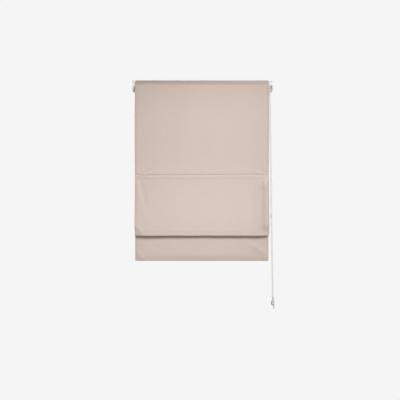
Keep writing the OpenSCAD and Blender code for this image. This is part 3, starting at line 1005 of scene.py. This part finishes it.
        d = self.panel_rows.rows(self.panel)
        s = d / self.panel
        put(Region.PANEL, self.face_y - self.belly * np.sin(math.pi * s) ** 2, self.top_z - d, s)
        r = self.fold_radius
        front_y = self.face_y - self.fold_reach
        back_y = front_y + 2 * r
        crest_z = self.lower_z - self.crest_radius
        crest_y = back_y + self.crest_gap - self.crest_radius
        flap_y = crest_y + self.crest_radius
        d, s = after_first(self.front_rows, self.upper_z - self.fold_z - r)
        put(Region.FRONT, self.face_y - self.fold_reach * s**3 * (4 - 3 * s), self.upper_z - d, s)
        share = np.linspace(0, 1, self.turn_rows + 1)[1:]
        bottom = (front_y + r, self.fold_z + r, r)
        put(Region.FRONT_TURN, *self._turn(*bottom, 180, 270, self.fold_press), share)
        put(Region.BACK_TURN, *self._turn(*bottom, 270, 360, self.fold_press), share)
        d, s = after_first(self.back_rows, crest_z - self.fold_z - r)
        y = back_y + (crest_y - self.crest_radius - back_y) * eased(s)
        z = self.fold_z + r + d
        part = np.searchsorted(self.back_splits, s)
        for step, region in enumerate(BACKS):
            here = part == step
            put(region, y[here], z[here], s[here])
        put(Region.CREST, *self._turn(crest_y, crest_z, self.crest_radius, 180, 0), share)
        hem_turn_z = self.hem_z + self.hem_radius + self.thick / 2
        d, s = after_first(self.flap_rows, crest_z - hem_turn_z)
        put(Region.FLAP, flap_y + self.flap_lean * eased(s), crest_z - d, s)
        hem_y = flap_y + self.flap_lean
        turn = self._turn(hem_y + self.hem_radius, hem_turn_z, self.hem_radius, 180, 360)
        put(Region.HEM_TURN, *turn, share)
        rise = np.linspace(0, self.hem_z + self.hem_height - hem_turn_z, self.hem_rows)[1:]
        back = np.full(len(rise), hem_y + 2 * self.hem_radius)
        put(Region.HEM_BACK, back, hem_turn_z + rise, rise / rise[-1])
        self.path = np.concatenate(rows)
        self.region = np.concatenate([np.full(len(s), region.value) for region, s in tags])
        self.share = np.concatenate([s for _, s in tags])
        steps = np.linalg.norm(np.diff(self.path, axis=0), axis=1)
        self.along = np.concatenate([[0.0], np.cumsum(steps)])

    def _rows(self, *regions: Region) -> Array:
        """Column of ones on the rows of some regions and zeros elsewhere."""
        return np.isin(self.region, [r.value for r in regions]).astype(float)[:, None]

    def _surface(self) -> None:
        """Shapes the cloth: long waves, the pull of the rods, and the soft ends of the fold."""
        rng = np.random.default_rng(SEED)
        slow = Waves(self.slow_waves, rng)
        drift = Waves(self.drift_waves, rng)
        small = Waves(self.small_waves, rng)
        s, z = self.share[:, None], self.path[:, 1][:, None]
        even = np.linspace(-1, 1, self.columns)
        x = self.half_width * np.sign(even) * (1 - (1 - np.abs(even)) ** self.crowding) + 0 * s
        panel, front, flap = (self._rows(r) for r in (Region.PANEL, Region.FRONT, Region.FLAP))
        turn, back = self._rows(Region.FRONT_TURN, Region.BACK_TURN), self._rows(*BACKS)
        bow = np.sin(math.pi * s)
        droop = front * s**self.droop_power + turn + back * (1 - s) ** self.droop_power
        sway = self.panel_sway.at(slow, x, s) + bow * self.panel_ripple.at(drift, x, s)
        forward = panel * bow * sway
        forward += droop * (self.fold_sway.at(drift, x, s) + self.fold_ripple.at(slow, x, s))
        sway = self.flap_sway.at(drift, x, s) + self.flap_swell * self.flap_side.at(x)
        forward += flap * bow * sway
        forward += flap * self._bulge(x, z) + panel * self._header(z)
        forward += (panel + front) * self._seam(x, z, small)
        steps = self.panel_step * panel + self.front_step * front + self.flap_step * flap
        forward += steps * self._side_steps(x, z)
        for rows, creases in (
            (front, self.fold_creases),
            (panel, self.panel_creases),
            (flap, self.flap_creases),
        ):
            forward += rows * sum(crease.at(x, z) for crease in creases)
        forward += front * (self._right_ridge(x, z) + self._pressed(x, z))
        forward -= (front + turn + back) * self.fold_curl.at(x, z)
        wobble = self.fold_dip.at(slow, x, s) + self.fold_wobble.at(drift, x, s)
        up = droop * (wobble - self.fold_sag)
        tilt = self.seam_tilt * bell(z - self.upper_z, self.tilt_reach)
        up += (panel + front) * tilt * x / self.half_width
        low = front * s**self.end_power + turn * (1 - self._rows(Region.BACK_TURN) * eased(s))
        ends = (self.right_end, self.right_tip, self.left_end)
        right, tip, left = (end.at(x) ** 2 for end in ends)
        forward += low * self.right_push * right
        up += low * (self.right_rise * right + self.tip_rise * tip + self.left_rise * left)
        across = x + low * self.left_tuck * left
        mid = np.stack([across, self.path[:, 0][:, None] - forward, z + up], 2)
        out = np.cross(np.gradient(mid, axis=0), np.gradient(mid, axis=1))
        out /= np.linalg.norm(out, axis=2)[:, :, None]
        self.x = x
        self.out = out
        self.outer = mid + out * (self.thick / 2)
        behind = self.thick / 2 + self.side_hem_thick * self._hem_share(x, z)
        self.inner = mid - out * behind[:, :, None]
        self.layers = self._layer_shade_share(x)

    def _bulge(self, x: Array, z: Array) -> Array:
        """Forward bulge of the flap, full above the hem and flatter at its sides.

        Args:
            x: Places across the cloth.
            z: Heights of the rows.

        Returns:
            How far the cloth comes forward.
        """
        top = self.lower_z - self.bulge_start
        hang = Ramp(top, self.hem_z + self.hem_height - top).at(z)
        foot = Ramp(self.hem_z, self.bulge_foot).at(z)
        return self.flap_bulge * (1 - self.bulge_loss * (x / self.half_width) ** 2) * hang * foot

    def _header(self, z: Array) -> Array:
        """Step below the header, which stands forward and fades down the panel."""
        below = self.top_z - z
        return self.header_step * self.header_head.at(below) * self.header_foot.at(below)

    def _seam(self, x: Array, z: Array, small: Waves) -> Array:
        """Forward rolls on both sides of the seam at the upper rod, gathered by its stitches.

        Args:
            x: Places across the cloth.
            z: Heights of the rows.
            small: Short waves of the puckers.

        Returns:
            How far the cloth comes forward.
        """
        below = self.upper_z - z
        sewn = self.seam_start.at(x - self.seam_left) * self.seam_stop.at(x - self.seam_right)
        near = sewn * (1 - sewn * self.seam_groove.at(below))
        rolls = sum(roll.at(below) for roll in self.seam_rolls)
        pucker = self.pucker_height * np.exp(-np.abs(below) / self.pucker_reach)
        return near * (rolls + pucker * (self.pucker_bias + small.at(x))) + self._stars(x, z)

    def _stars(self, x: Array, z: Array) -> Array:
        """Small puckers that fan out from both ends of the seam.

        Args:
            x: Places across the cloth.
            z: Heights of the rows.

        Returns:
            How far the cloth comes forward.
        """
        total = np.zeros_like(x)
        ends = (self.seam_left, self.seam_right)
        for end, arms, twist in zip(ends, self.star_arms, self.star_twists):
            away = np.hypot(x - end, z - self.upper_z)
            angle = np.arctan2(z - self.upper_z, x - end)
            fan = np.cos(arms * angle + twist) * np.exp(-away / self.star_reach)
            total += self.star_height * fan * (1 - bell(away, self.star_eye))
        return total

    def _side_steps(self, x: Array, z: Array) -> Array:
        """Step of the side hems that shows through the face.

        Args:
            x: Places across the cloth.
            z: Heights of the rows.

        Returns:
            How far the cloth comes forward.
        """
        fade = self.step_even + (1 - self.step_even) * np.sin(z / self.step_swing)
        start = self.half_width - self.side_hem - self.step_run / 2
        return fade * Ramp(start, self.step_run).at(np.abs(x))

    def _right_ridge(self, x: Array, z: Array) -> Array:
        """Stiff right side of the fold's front, which stands forward and turns in at its edge.

        Args:
            x: Places across the cloth.
            z: Heights of the rows.

        Returns:
            How far the cloth comes forward.
        """
        fade = self.ridge_head.at(self.upper_z - z) * self.ridge_foot.at(z - self.fold_z)
        stand = sum(rise * ramp.at(x) for rise, ramp in self.ridge_rises)
        return fade * stand * (1 - self.ridge_edge.at(x))

    def _pressed(self, x: Array, z: Array) -> Array:
        """Faint pressed line above the bottom of the fold."""
        ends = self.pressed_end.at(np.abs(x - self.pressed_middle))
        return self.pressed_line.at(self.fold_z - z) * ends

    def _hem_share(self, x: Array, z: Array) -> Array:
        """Share of the side hem's thickness on the back, none where a tape, cap or bar lies.

        Args:
            x: Places across the cloth.
            z: Heights of the rows.

        Returns:
            The share at each point.
        """
        band = Ramp(self.half_width - self.side_hem, self.side_hem_thick).at(np.abs(x))
        panel, front, flap = (self._rows(r) for r in (Region.PANEL, Region.FRONT, Region.FLAP))
        folded = self._rows(Region.FRONT_TURN, Region.BACK_TURN, *BACKS)
        clear_upper = 1 - self.upper_clear.at(self.upper_z - z)
        clear_lower = 1 - self.lower_clear.at(self.lower_z - z)
        clear_hem = self.hem_clear.at(z - self.hem_z - self.hem_height)
        hanging = clear_upper * (panel * self.tape_clear.at(self.top_z - z) + front)
        return band * (hanging + folded + flap * clear_lower * clear_hem)

    def _layer_shade_share(self, x: Array) -> Array:
        """Share of painted shade where the cloth lies double, drawn darker and warmer than a single
        layer as if less light came through.

        Args:
            x: Places across the cloth.

        Returns:
            The share at each point.
        """
        z = self.path[:, 1][:, None] + 0 * x
        panel, front, flap = (self._rows(r) for r in (Region.PANEL, Region.FRONT, Region.FLAP))
        head = panel * self.header_shade.at(self.top_z - z)
        seam = (panel + front) * self.seam_shade.at(self.upper_z - z)
        above = z - self.hem_z
        hem = flap * (self.hem_shade + self.hem_foot_shade * self.hem_foot.at(above))
        hem = hem * Ramp(self.hem_height, -self.hem_shade_run).at(above)
        tail = self._rows(Region.HEM_TURN, Region.HEM_BACK) + 0 * x
        sides = self.side_shade * self.side_shade_edge.at(self.half_width - np.abs(x))
        return np.clip(np.maximum.reduce([head, seam, hem, tail, sides]), 0, 1)

    def _piece(self, strip: Strip) -> Piece:
        """Makes one closed piece of the cloth with its stitches.

        Args:
            strip: The piece's name and its stretch of the cloth.

        Returns:
            The piece's object.
        """
        first, last = strip.first.value, strip.last.value
        inside = np.nonzero((self.region >= first) & (self.region <= last))[0]
        low = max(inside[0] - 1, 0)
        high = inside[-1] + 1
        outer, inner = self.outer[low:high], self.inner[low:high]
        rows, cols = outer.shape[:2]
        edge = (outer + inner)[:, [0, -1]] / 2
        edge[:, 0, 0] -= self.edge_round
        edge[:, 1, 0] += self.edge_round
        points = np.concatenate([outer.reshape(-1, 3), inner.reshape(-1, 3), edge.reshape(-1, 3)])
        # a, b and e number the points of the face, the back and the two side edges
        a = np.arange(rows * cols).reshape(rows, cols)
        b = a + rows * cols
        e = 2 * rows * cols + np.arange(rows * 2).reshape(rows, 2)

        def between(one: Array, two: Array) -> Array:
            """Quads between two lines of points."""
            return np.stack([one[:-1], one[1:], two[1:], two[:-1]], -1).reshape(-1, 4)

        faces = [
            np.stack([a[:-1, :-1], a[1:, :-1], a[1:, 1:], a[:-1, 1:]], -1).reshape(-1, 4),
            np.stack([b[:-1, :-1], b[:-1, 1:], b[1:, 1:], b[1:, :-1]], -1).reshape(-1, 4),
            between(e[:, 0], a[:, 0]),
            between(b[:, 0], e[:, 0]),
            between(a[:, -1], e[:, 1]),
            between(e[:, 1], b[:, -1]),
            between(a[0], b[0]),
            between(b[-1], a[-1]),
        ]
        caps = [[e[0, 0], a[0, 0], b[0, 0]], [a[0, -1], e[0, 1], b[0, -1]]]
        caps += [[a[-1, 0], e[-1, 0], b[-1, 0]], [e[-1, 1], a[-1, -1], b[-1, -1]]]
        turned = np.abs((self.x[low : high - 1, :-1] + self.x[low : high - 1, 1:]) / 2)
        back_slot = (turned < self.half_width - self.side_hem).astype(int).reshape(-1)
        slots = [np.zeros(len(faces[0]), int), back_slot]
        slots += [np.zeros(len(f), int) for f in faces[2:]] + [np.zeros(len(caps), int)]
        seams, seam_faces = self._stitches(strip.first, len(points))
        slots.append(np.full(len(seam_faces), 2))
        every = [f for group in faces for f in group.tolist()] + caps + seam_faces
        piece = new_piece(
            strip.name,
            np.concatenate([points, seams]),
            every,
            (LINEN, LINING, THREAD),
            np.concatenate(slots),
        )
        flat_from = sum(map(len, faces[:-2]))
        smooth = np.ones(len(every), bool)
        smooth[flat_from : flat_from + 2 * (cols - 1)] = False
        piece.data.polygons.foreach_set("use_smooth", smooth)
        along = np.repeat(self.along[low:high], cols)
        across = self.x[low:high].reshape(-1)
        flat = np.concatenate([np.stack([across, -along], 1)] * 2)
        rim = np.stack([edge[:, :, 0].reshape(-1), -np.repeat(self.along[low:high], 2)], 1)
        self._map(piece, np.concatenate([flat, rim, seams[:, [0, 2]]]) * MM)
        # painted shade: each point's share of the darker colour of cloth that lies double
        layer_shade = self.layers[low:high]
        shares = np.concatenate([layer_shade.reshape(-1), layer_shade.reshape(-1), layer_shade[:, [0, -1]].reshape(-1)])
        layers = piece.data.attributes.new(LAYER_SHADE_ATTRIBUTE, "FLOAT", "POINT")
        values = np.concatenate([shares, np.ones(len(seams))]).astype(np.float32)
        layers.data.foreach_set("value", values)
        return piece

    @staticmethod
    def _map(piece: Piece, flat: Array) -> None:
        """Lays the cloth's flat coordinates on the piece.

        Args:
            piece: The piece.
            flat: Flat place of each point, in metres.
        """
        layer = piece.data.uv_layers.new(name=CLOTH_UV)
        corners = np.empty(len(piece.data.loops), np.int32)
        piece.data.loops.foreach_get("vertex_index", corners)
        layer.data.foreach_set("uv", flat[corners].astype(np.float32).reshape(-1))

    def _stitches(self, first: Region, start: int) -> tuple[Array, list[list[int]]]:
        """Rows of machine stitches on one piece's face.

        Args:
            first: Region that the piece begins with.
            start: Index that the first stitch point gets.

        Returns:
            The stitches' points and faces.
        """
        sides = (self.stitch_inset - self.half_width, self.half_width - self.stitch_inset)
        seam = (self.seam_left, self.seam_right)
        header = [(Region.PANEL, self.top_z - drop, sides) for drop in self.header_stitches]
        lines = {
            Region.PANEL: header,
            Region.FRONT: [(Region.FRONT, self.upper_z - self.seam_stitches, seam)],
            Region.CREST: [(Region.FLAP, self.hem_z + self.hem_height - self.hem_stitches, sides)],
        }
        sink = np.array(self.stitch_sink)[:, None] * self.stitch_radius
        reach = np.linspace(-0.5, 0.5, len(sink)) * self.stitch_length
        points, faces = [np.zeros((0, 3))], []
        for region, height, ends in lines.get(first, []):
            rows = np.nonzero(self.region == region.value)[0]
            row = rows[np.argmin(np.abs(self.path[rows, 1] - height))]
            for x in np.arange(*ends, self.stitch_pitch):
                place, lift = (
                    np.stack([np.interp(x + reach, self.x[row], line[:, k]) for k in range(3)], 1)
                    for line in (self.outer[row], self.out[row])
                )
                count = start + sum(map(len, points))
                path = place + lift * sink
                made, quads = tube(path, self.stitch_radius, self.stitch_sides, count)
                points.append(made)
                faces += quads
        return np.concatenate(points), faces


@dataclass
class LiftCords:
    """The two lift cords, from the spools through the guides to the anchors.

    Attributes:
        radius: Radius of a cord, in millimetres.
        sides: Corners of its section.
        step: Length of one ring of the mesh, in millimetres.
        upper_z: Height of the upper rod, in millimetres.
    """

    radius: float = 0.75
    sides: int = 8
    step: float = 8.0
    upper_z: float = -432.0

    def build(self) -> None:
        """Makes each cord in two runs, above and below the upper rod."""
        for side in ("left", "right"):
            node = f"lift_cord_{side}"
            low, high = (np.array(c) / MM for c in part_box(node))
            x, y = (low + high)[:2] / 2
            for run, top, bottom, pair in (
                ("upper", high[2], self.upper_z, (Body.FRAME, Body.UPPER)),
                ("lower", self.upper_z, low[2], (Body.UPPER, Body.LOWER)),
            ):
                heights = np.linspace(top, bottom, round((top - bottom) / self.step) + 1)
                path = np.stack([np.full(len(heights), x), np.full(len(heights), y), heights], 1)
                points, faces = tube(path, self.radius, self.sides)
                piece = new_piece(f"cord_{side}_{run}", points, faces, (CORD,))
                if run == "upper":
                    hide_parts(node)
                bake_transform(piece)
                LOG.info("%s: %.0f mm", piece.name, top - bottom)


@dataclass
class BeadChain:
    """The endless bead chain over the wheel and under the tensioner's saddle.

    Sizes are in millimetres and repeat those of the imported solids.
    """

    bead_radius: float = 2.25
    link_radius: float = 0.6
    pitch: float = 6.0
    wheel_beads: int = 7
    saddle_beads: int = 5
    strand_beads: int = 167
    wheel_x: float = 312.5
    wheel_z: float = -21.0
    slant: float = 15.0
    rings: int = 8
    sides: int = 12
    link_sides: int = 6

    def route(self) -> Array:
        """Places of all beads, once round the loop.

        Returns:
            One row for each bead.
        """
        wheel = self.wheel_beads * self.pitch / math.pi
        saddle = self.saddle_beads * self.pitch / math.pi
        strand = self.strand_beads * self.pitch
        drop = math.sqrt(strand**2 - self.slant**2 - (wheel - saddle) ** 2)
        low = np.array([self.wheel_x + self.slant, 0, self.wheel_z - drop])
        high = np.array([self.wheel_x, 0, self.wheel_z])

        def turn(centre: Array, radius: float, beads: int, first: float) -> Array:
            """Beads of a half turn between two strands."""
            a = np.radians(first + np.arange(1, beads) * 180 / beads)
            return centre + radius * np.stack([0 * a, np.cos(a), np.sin(a)], 1)

        share = np.linspace(0, 1, self.strand_beads + 1)[:, None]
        front = high + [0, -wheel, 0] + share * (low - high + [0, wheel - saddle, 0])
        back = low + [0, saddle, 0] + share * (high - low + [0, wheel - saddle, 0])
        under = turn(low, saddle, self.saddle_beads, 180)
        over = turn(high, wheel, self.wheel_beads, 0)
        return np.concatenate([front, under, back, over])

    def build(self) -> None:
        """Makes the chain as one piece: a ball for each bead and a link to the next."""
        beads = self.route()
        up = np.linspace(0, math.pi, self.rings + 1)[1:-1]
        turn = np.arange(self.sides) * 2 * math.pi / self.sides
        skin = [
            (math.sin(u) * math.cos(t), math.sin(u) * math.sin(t), math.cos(u))
            for u in up
            for t in turn
        ]
        unit = np.array([(0.0, 0.0, 1.0), *skin, (0.0, 0.0, -1.0)]) * self.bead_radius
        n, last = self.sides, len(unit) - 1
        shell = [[0, 1 + j, 1 + (j + 1) % n] for j in range(n)]
        for i in range(self.rings - 2):
            a, b = 1 + i * n, 1 + (i + 1) * n
            shell += [[a + j, b + j, b + (j + 1) % n, a + (j + 1) % n] for j in range(n)]
        a = 1 + (self.rings - 2) * n
        shell += [[a + j, last, a + (j + 1) % n] for j in range(n)]
        points, faces, count = [], [], 0
        for bead in beads:
            points.append(unit + bead)
            faces += [[count + i for i in f] for f in shell]
            count += len(unit)
        for one, two in zip(beads, np.roll(beads, -1, axis=0)):
            made, quads = tube(np.linspace(one, two, 2), self.link_radius, self.link_sides, count)
            points.append(made)
            faces += quads
            count += len(made)
        piece = new_piece("chain_of_beads", np.concatenate(points), faces, (BEADS,))
        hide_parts("bead_chain")
        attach(piece, Body.FRAME.value)
        LOG.info("%s: %d beads", piece.name, len(beads))


@dataclass
class Fittings:
    """Rigid fittings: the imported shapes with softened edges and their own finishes.

    Attributes:
        crease: Edges sharper than this angle, in degrees, are softened.
        flat: Faces that meet at less than this angle, in degrees, are joined.
        weld: Points closer than this, in metres, are joined.
        rounds: Faces across the round of an edge.
    """

    crease: float = 38.0
    flat: float = 0.6
    weld: float = 2e-6
    rounds: int = 2

    def build(self, bodies: dict[str, list[str]], nodes: dict[str, Piece]) -> None:
        """Dresses every rigid node.

        Args:
            bodies: Nodes of each body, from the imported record.
            nodes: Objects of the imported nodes.
        """
        home = {node: body for body, held in bodies.items() for node in held}
        for finish, width, slot, names in self._plan():
            for name in names.split():
                if width:
                    self._softened(name, nodes[name], finish, width, home[name])
                else:
                    self._finished(nodes[name], finish)
                LOG.info("%s: %s", name, finish.name)

    @staticmethod
    def _plan() -> list[tuple[Finish, float, str, str]]:
        """Sorts the nodes by finish, and by the width of their softened edges.

        Returns:
            Finish, edge width in millimetres, material slot and nodes of each group.
        """
        return [
            (RAIL, 0.35, "grey_rail", "headrail"),
            (ZINC, 0.3, "zinc_steel", "bracket_left bracket_right tensioner_screw"),
            (ZINC, 0.0, "zinc_steel", "brake_spring"),
            (DRAWN, 0.3, "shaft_aluminium", "drive_shaft"),
            (ZINC, 0.4, "bar_steel", "bottom_bar"),
            (TAPE, 0.0, "white_tape", "hook_tape loop_tape upper_rod_pocket lower_rod_pocket"),
            (MOULDED, 0.7, "white_plastic", "idle_end_plate control_end_plate"),
            (MOULDED, 0.4, "white_plastic", "control_housing tensioner_base tensioner_cover"),
            (MOULDED, 0.25, "white_plastic", "spool_cradle_left spool_cradle_right"),
            (MOULDED, 0.25, "white_plastic", "cord_spool_left cord_spool_right shaft_bush"),
            (MOULDED, 0.25, "white_plastic", "cord_guides cord_anchors upper_rod_caps"),
            (MOULDED, 0.25, "white_plastic", "lower_rod_caps bottom_bar_caps"),
            (MOULDED, 0.0, "white_plastic", "chain_wheel"),
            (MILKY, 0.2, "clear_plastic", "clutch_core drive_hub chain_joint"),
            (GLASSFIBRE, 0.2, "rod_glassfibre", "upper_rod lower_rod"),
            (CORD, 0.0, "white_cord", "wound_cord_left wound_cord_right"),
        ]

    @staticmethod
    def _finished(node: Piece, finish: Finish) -> None:
        """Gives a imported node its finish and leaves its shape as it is.

        Args:
            node: The node's object.
            finish: The finish.
        """
        for slot in node.material_slots:
            slot.link = "OBJECT"
            slot.material = finish.material()

    def _softened(
        self, name: str, node: Piece, finish: Finish, width: float, body: str
    ) -> None:
        """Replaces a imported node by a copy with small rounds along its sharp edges.

        Args:
            name: Name of the node.
            node: The node's object.
            finish: Finish of the copy.
            width: Width of the rounds, in millimetres.
            body: Body that the copy rides on.
        """
        shape = bmesh.new()
        shape.from_mesh(node.data)
        limit = math.radians(self.crease)
        bmesh.ops.remove_doubles(shape, verts=shape.verts, dist=self.weld)
        bmesh.ops.dissolve_limit(
            shape, angle_limit=math.radians(self.flat), verts=shape.verts, edges=shape.edges
        )
        whole = [edge for edge in shape.edges if len(edge.link_faces) == 2]
        sharp = [edge for edge in whole if edge.calc_face_angle(0.0) > limit]
        bmesh.ops.bevel(
            shape,
            geom=sharp,
            offset=width * MM,
            segments=self.rounds,
            profile=0.5,
            affect="EDGES",
            clamp_overlap=True,
        )
        for face in shape.faces:
            face.smooth = True
            face.material_index = 0
        for edge in shape.edges:
            edge.smooth = len(edge.link_faces) == 2 and edge.calc_face_angle(0.0) < limit
        mesh = bpy.data.meshes.new(name + "_moulded")
        shape.to_mesh(mesh)
        shape.free()
        mesh.materials.append(finish.material())
        piece = bpy.data.objects.new(name + "_finished", mesh)
        even = piece.modifiers.new("even_normals", "WEIGHTED_NORMAL")
        even.keep_sharp = True
        bpy.context.scene.collection.objects.link(piece)
        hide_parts(name)
        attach(piece, body)


@dataclass(frozen=True)
class Lamp:
    """A soft rectangular light.

    Attributes:
        name: Name of the light.
        place: Where it stands, in metres.
        target: What it points at.
        size: Its width and height.
        watts: Its power.
        spread: Angle of its beam, in degrees.
    """

    name: str
    place: Point
    target: Point
    size: tuple[float, float]
    watts: float
    spread: float

    def build(self) -> None:
        """Adds the light to the scene."""
        lamp = bpy.data.lights.new(self.name, "AREA")
        lamp.shape = "RECTANGLE"
        lamp.size, lamp.size_y = self.size
        lamp.energy = self.watts
        lamp.spread = math.radians(self.spread)
        holder = bpy.data.objects.new(self.name, lamp)
        holder.location = self.place
        aim = Vector(self.target) - Vector(self.place)
        holder.rotation_euler = aim.to_track_quat("-Z", "Y").to_euler()
        bpy.context.scene.collection.objects.link(holder)


@dataclass
class Studio:
    """Pale floor and world, soft lights, and the camera level in front of the blind.

    Lengths are in metres.
    """

    backdrop: str = "#f5f5f5"
    world_colour: str = "#ffffff"
    world_strength: float = 0.3
    floor_z: float = -2.2
    floor_half: float = 14.0
    camera_at: Point = (-0.0085, -1.8195, -0.5480)
    lens_mm: float = 35.5
    sensor_mm: float = 36.0
    lamps: tuple[Lamp, ...] = (
        Lamp("key_soft", (0.98, -2.3, 0.98), (-0.11, 0.0, -0.735), (0.6, 1.1), 6.0, 47.0),
        Lamp("fill_front", (0.9, -2.8, 0.1), (0.0, 0.0, -0.5), (2.0, 2.0), 4.0, 120.0),
        Lamp("back_soft", (-0.6, 2.6, 0.6), (0.0, 0.0, -0.5), (2.0, 2.0), 30.0, 180.0),
    )

    def build(self) -> None:
        """Makes the floor, the world, the lights and the camera."""
        self._floor()
        self._world()
        for lamp in self.lamps:
            lamp.build()
        lens = bpy.data.cameras.new("camera")
        lens.lens = self.lens_mm
        lens.sensor_width = self.sensor_mm
        camera = bpy.data.objects.new("camera", lens)
        camera.location = self.camera_at
        camera.rotation_euler = (math.pi / 2, 0, 0)
        bpy.context.scene.collection.objects.link(camera)
        bpy.context.scene.camera = camera
        bpy.context.scene.view_settings.view_transform = "Standard"

    def _floor(self) -> None:
        """Makes the floor, which the camera sees in the backdrop's own colour."""
        h = self.floor_half / MM
        z = self.floor_z / MM
        corners = np.array([[-h, -h, z], [h, -h, z], [h, h, z], [-h, h, z]])
        floor = new_piece("floor", corners, [[0, 1, 2, 3]], ())
        paint = bpy.data.materials.new("floor_pale_matt")
        paint.use_nodes = True
        tree = paint.node_tree
        tree.nodes.clear()
        matt = add_node(tree, "ShaderNodeBsdfDiffuse", {"Color": linear(self.backdrop)})
        self._seen_plain(tree, matt, "ShaderNodeEmission", "ShaderNodeOutputMaterial")
        floor.data.materials.append(paint)

    def _world(self) -> None:
        """Makes the world: soft light all round, seen as the plain backdrop."""
        world = bpy.data.worlds.new("studio")
        world.use_nodes = True
        tree = world.node_tree
        tree.nodes.clear()
        feeds = {"Color": linear(self.world_colour), "Strength": self.world_strength}
        soft = add_node(tree, "ShaderNodeBackground", feeds)
        self._seen_plain(tree, soft, "ShaderNodeBackground", "ShaderNodeOutputWorld")
        bpy.context.scene.world = world

    def _seen_plain(self, tree: Tree, lit: Node, glow: str, output: str) -> None:
        """Ends a node tree, so that the camera sees the plain backdrop and light meets the rest.

        Args:
            tree: The node tree.
            lit: Shader that light meets.
            glow: Kind of node that shows the backdrop.
            output: Kind of node that ends the tree.
        """
        seen = add_node(tree, "ShaderNodeLightPath").outputs["Is Camera Ray"]
        plain = add_node(tree, glow, {"Color": linear(self.backdrop), "Strength": 1.0})
        feeds = {0: seen, 1: lit.outputs[0], 2: plain.outputs[0]}
        both = add_node(tree, "ShaderNodeMixShader", feeds)
        add_node(tree, output, {"Surface": both.outputs[0]})


def main() -> None:
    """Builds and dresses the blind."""
    logging.basicConfig(level=logging.INFO, format="%(name)s %(message)s")
    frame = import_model()
    Studio().build()
    Fittings().build(frame["record"]["behaviour"]["bodies"], frame["nodes"])
    Cloth().build()
    LiftCords().build()
    BeadChain().build()


if __name__ == "__main__":
    main()
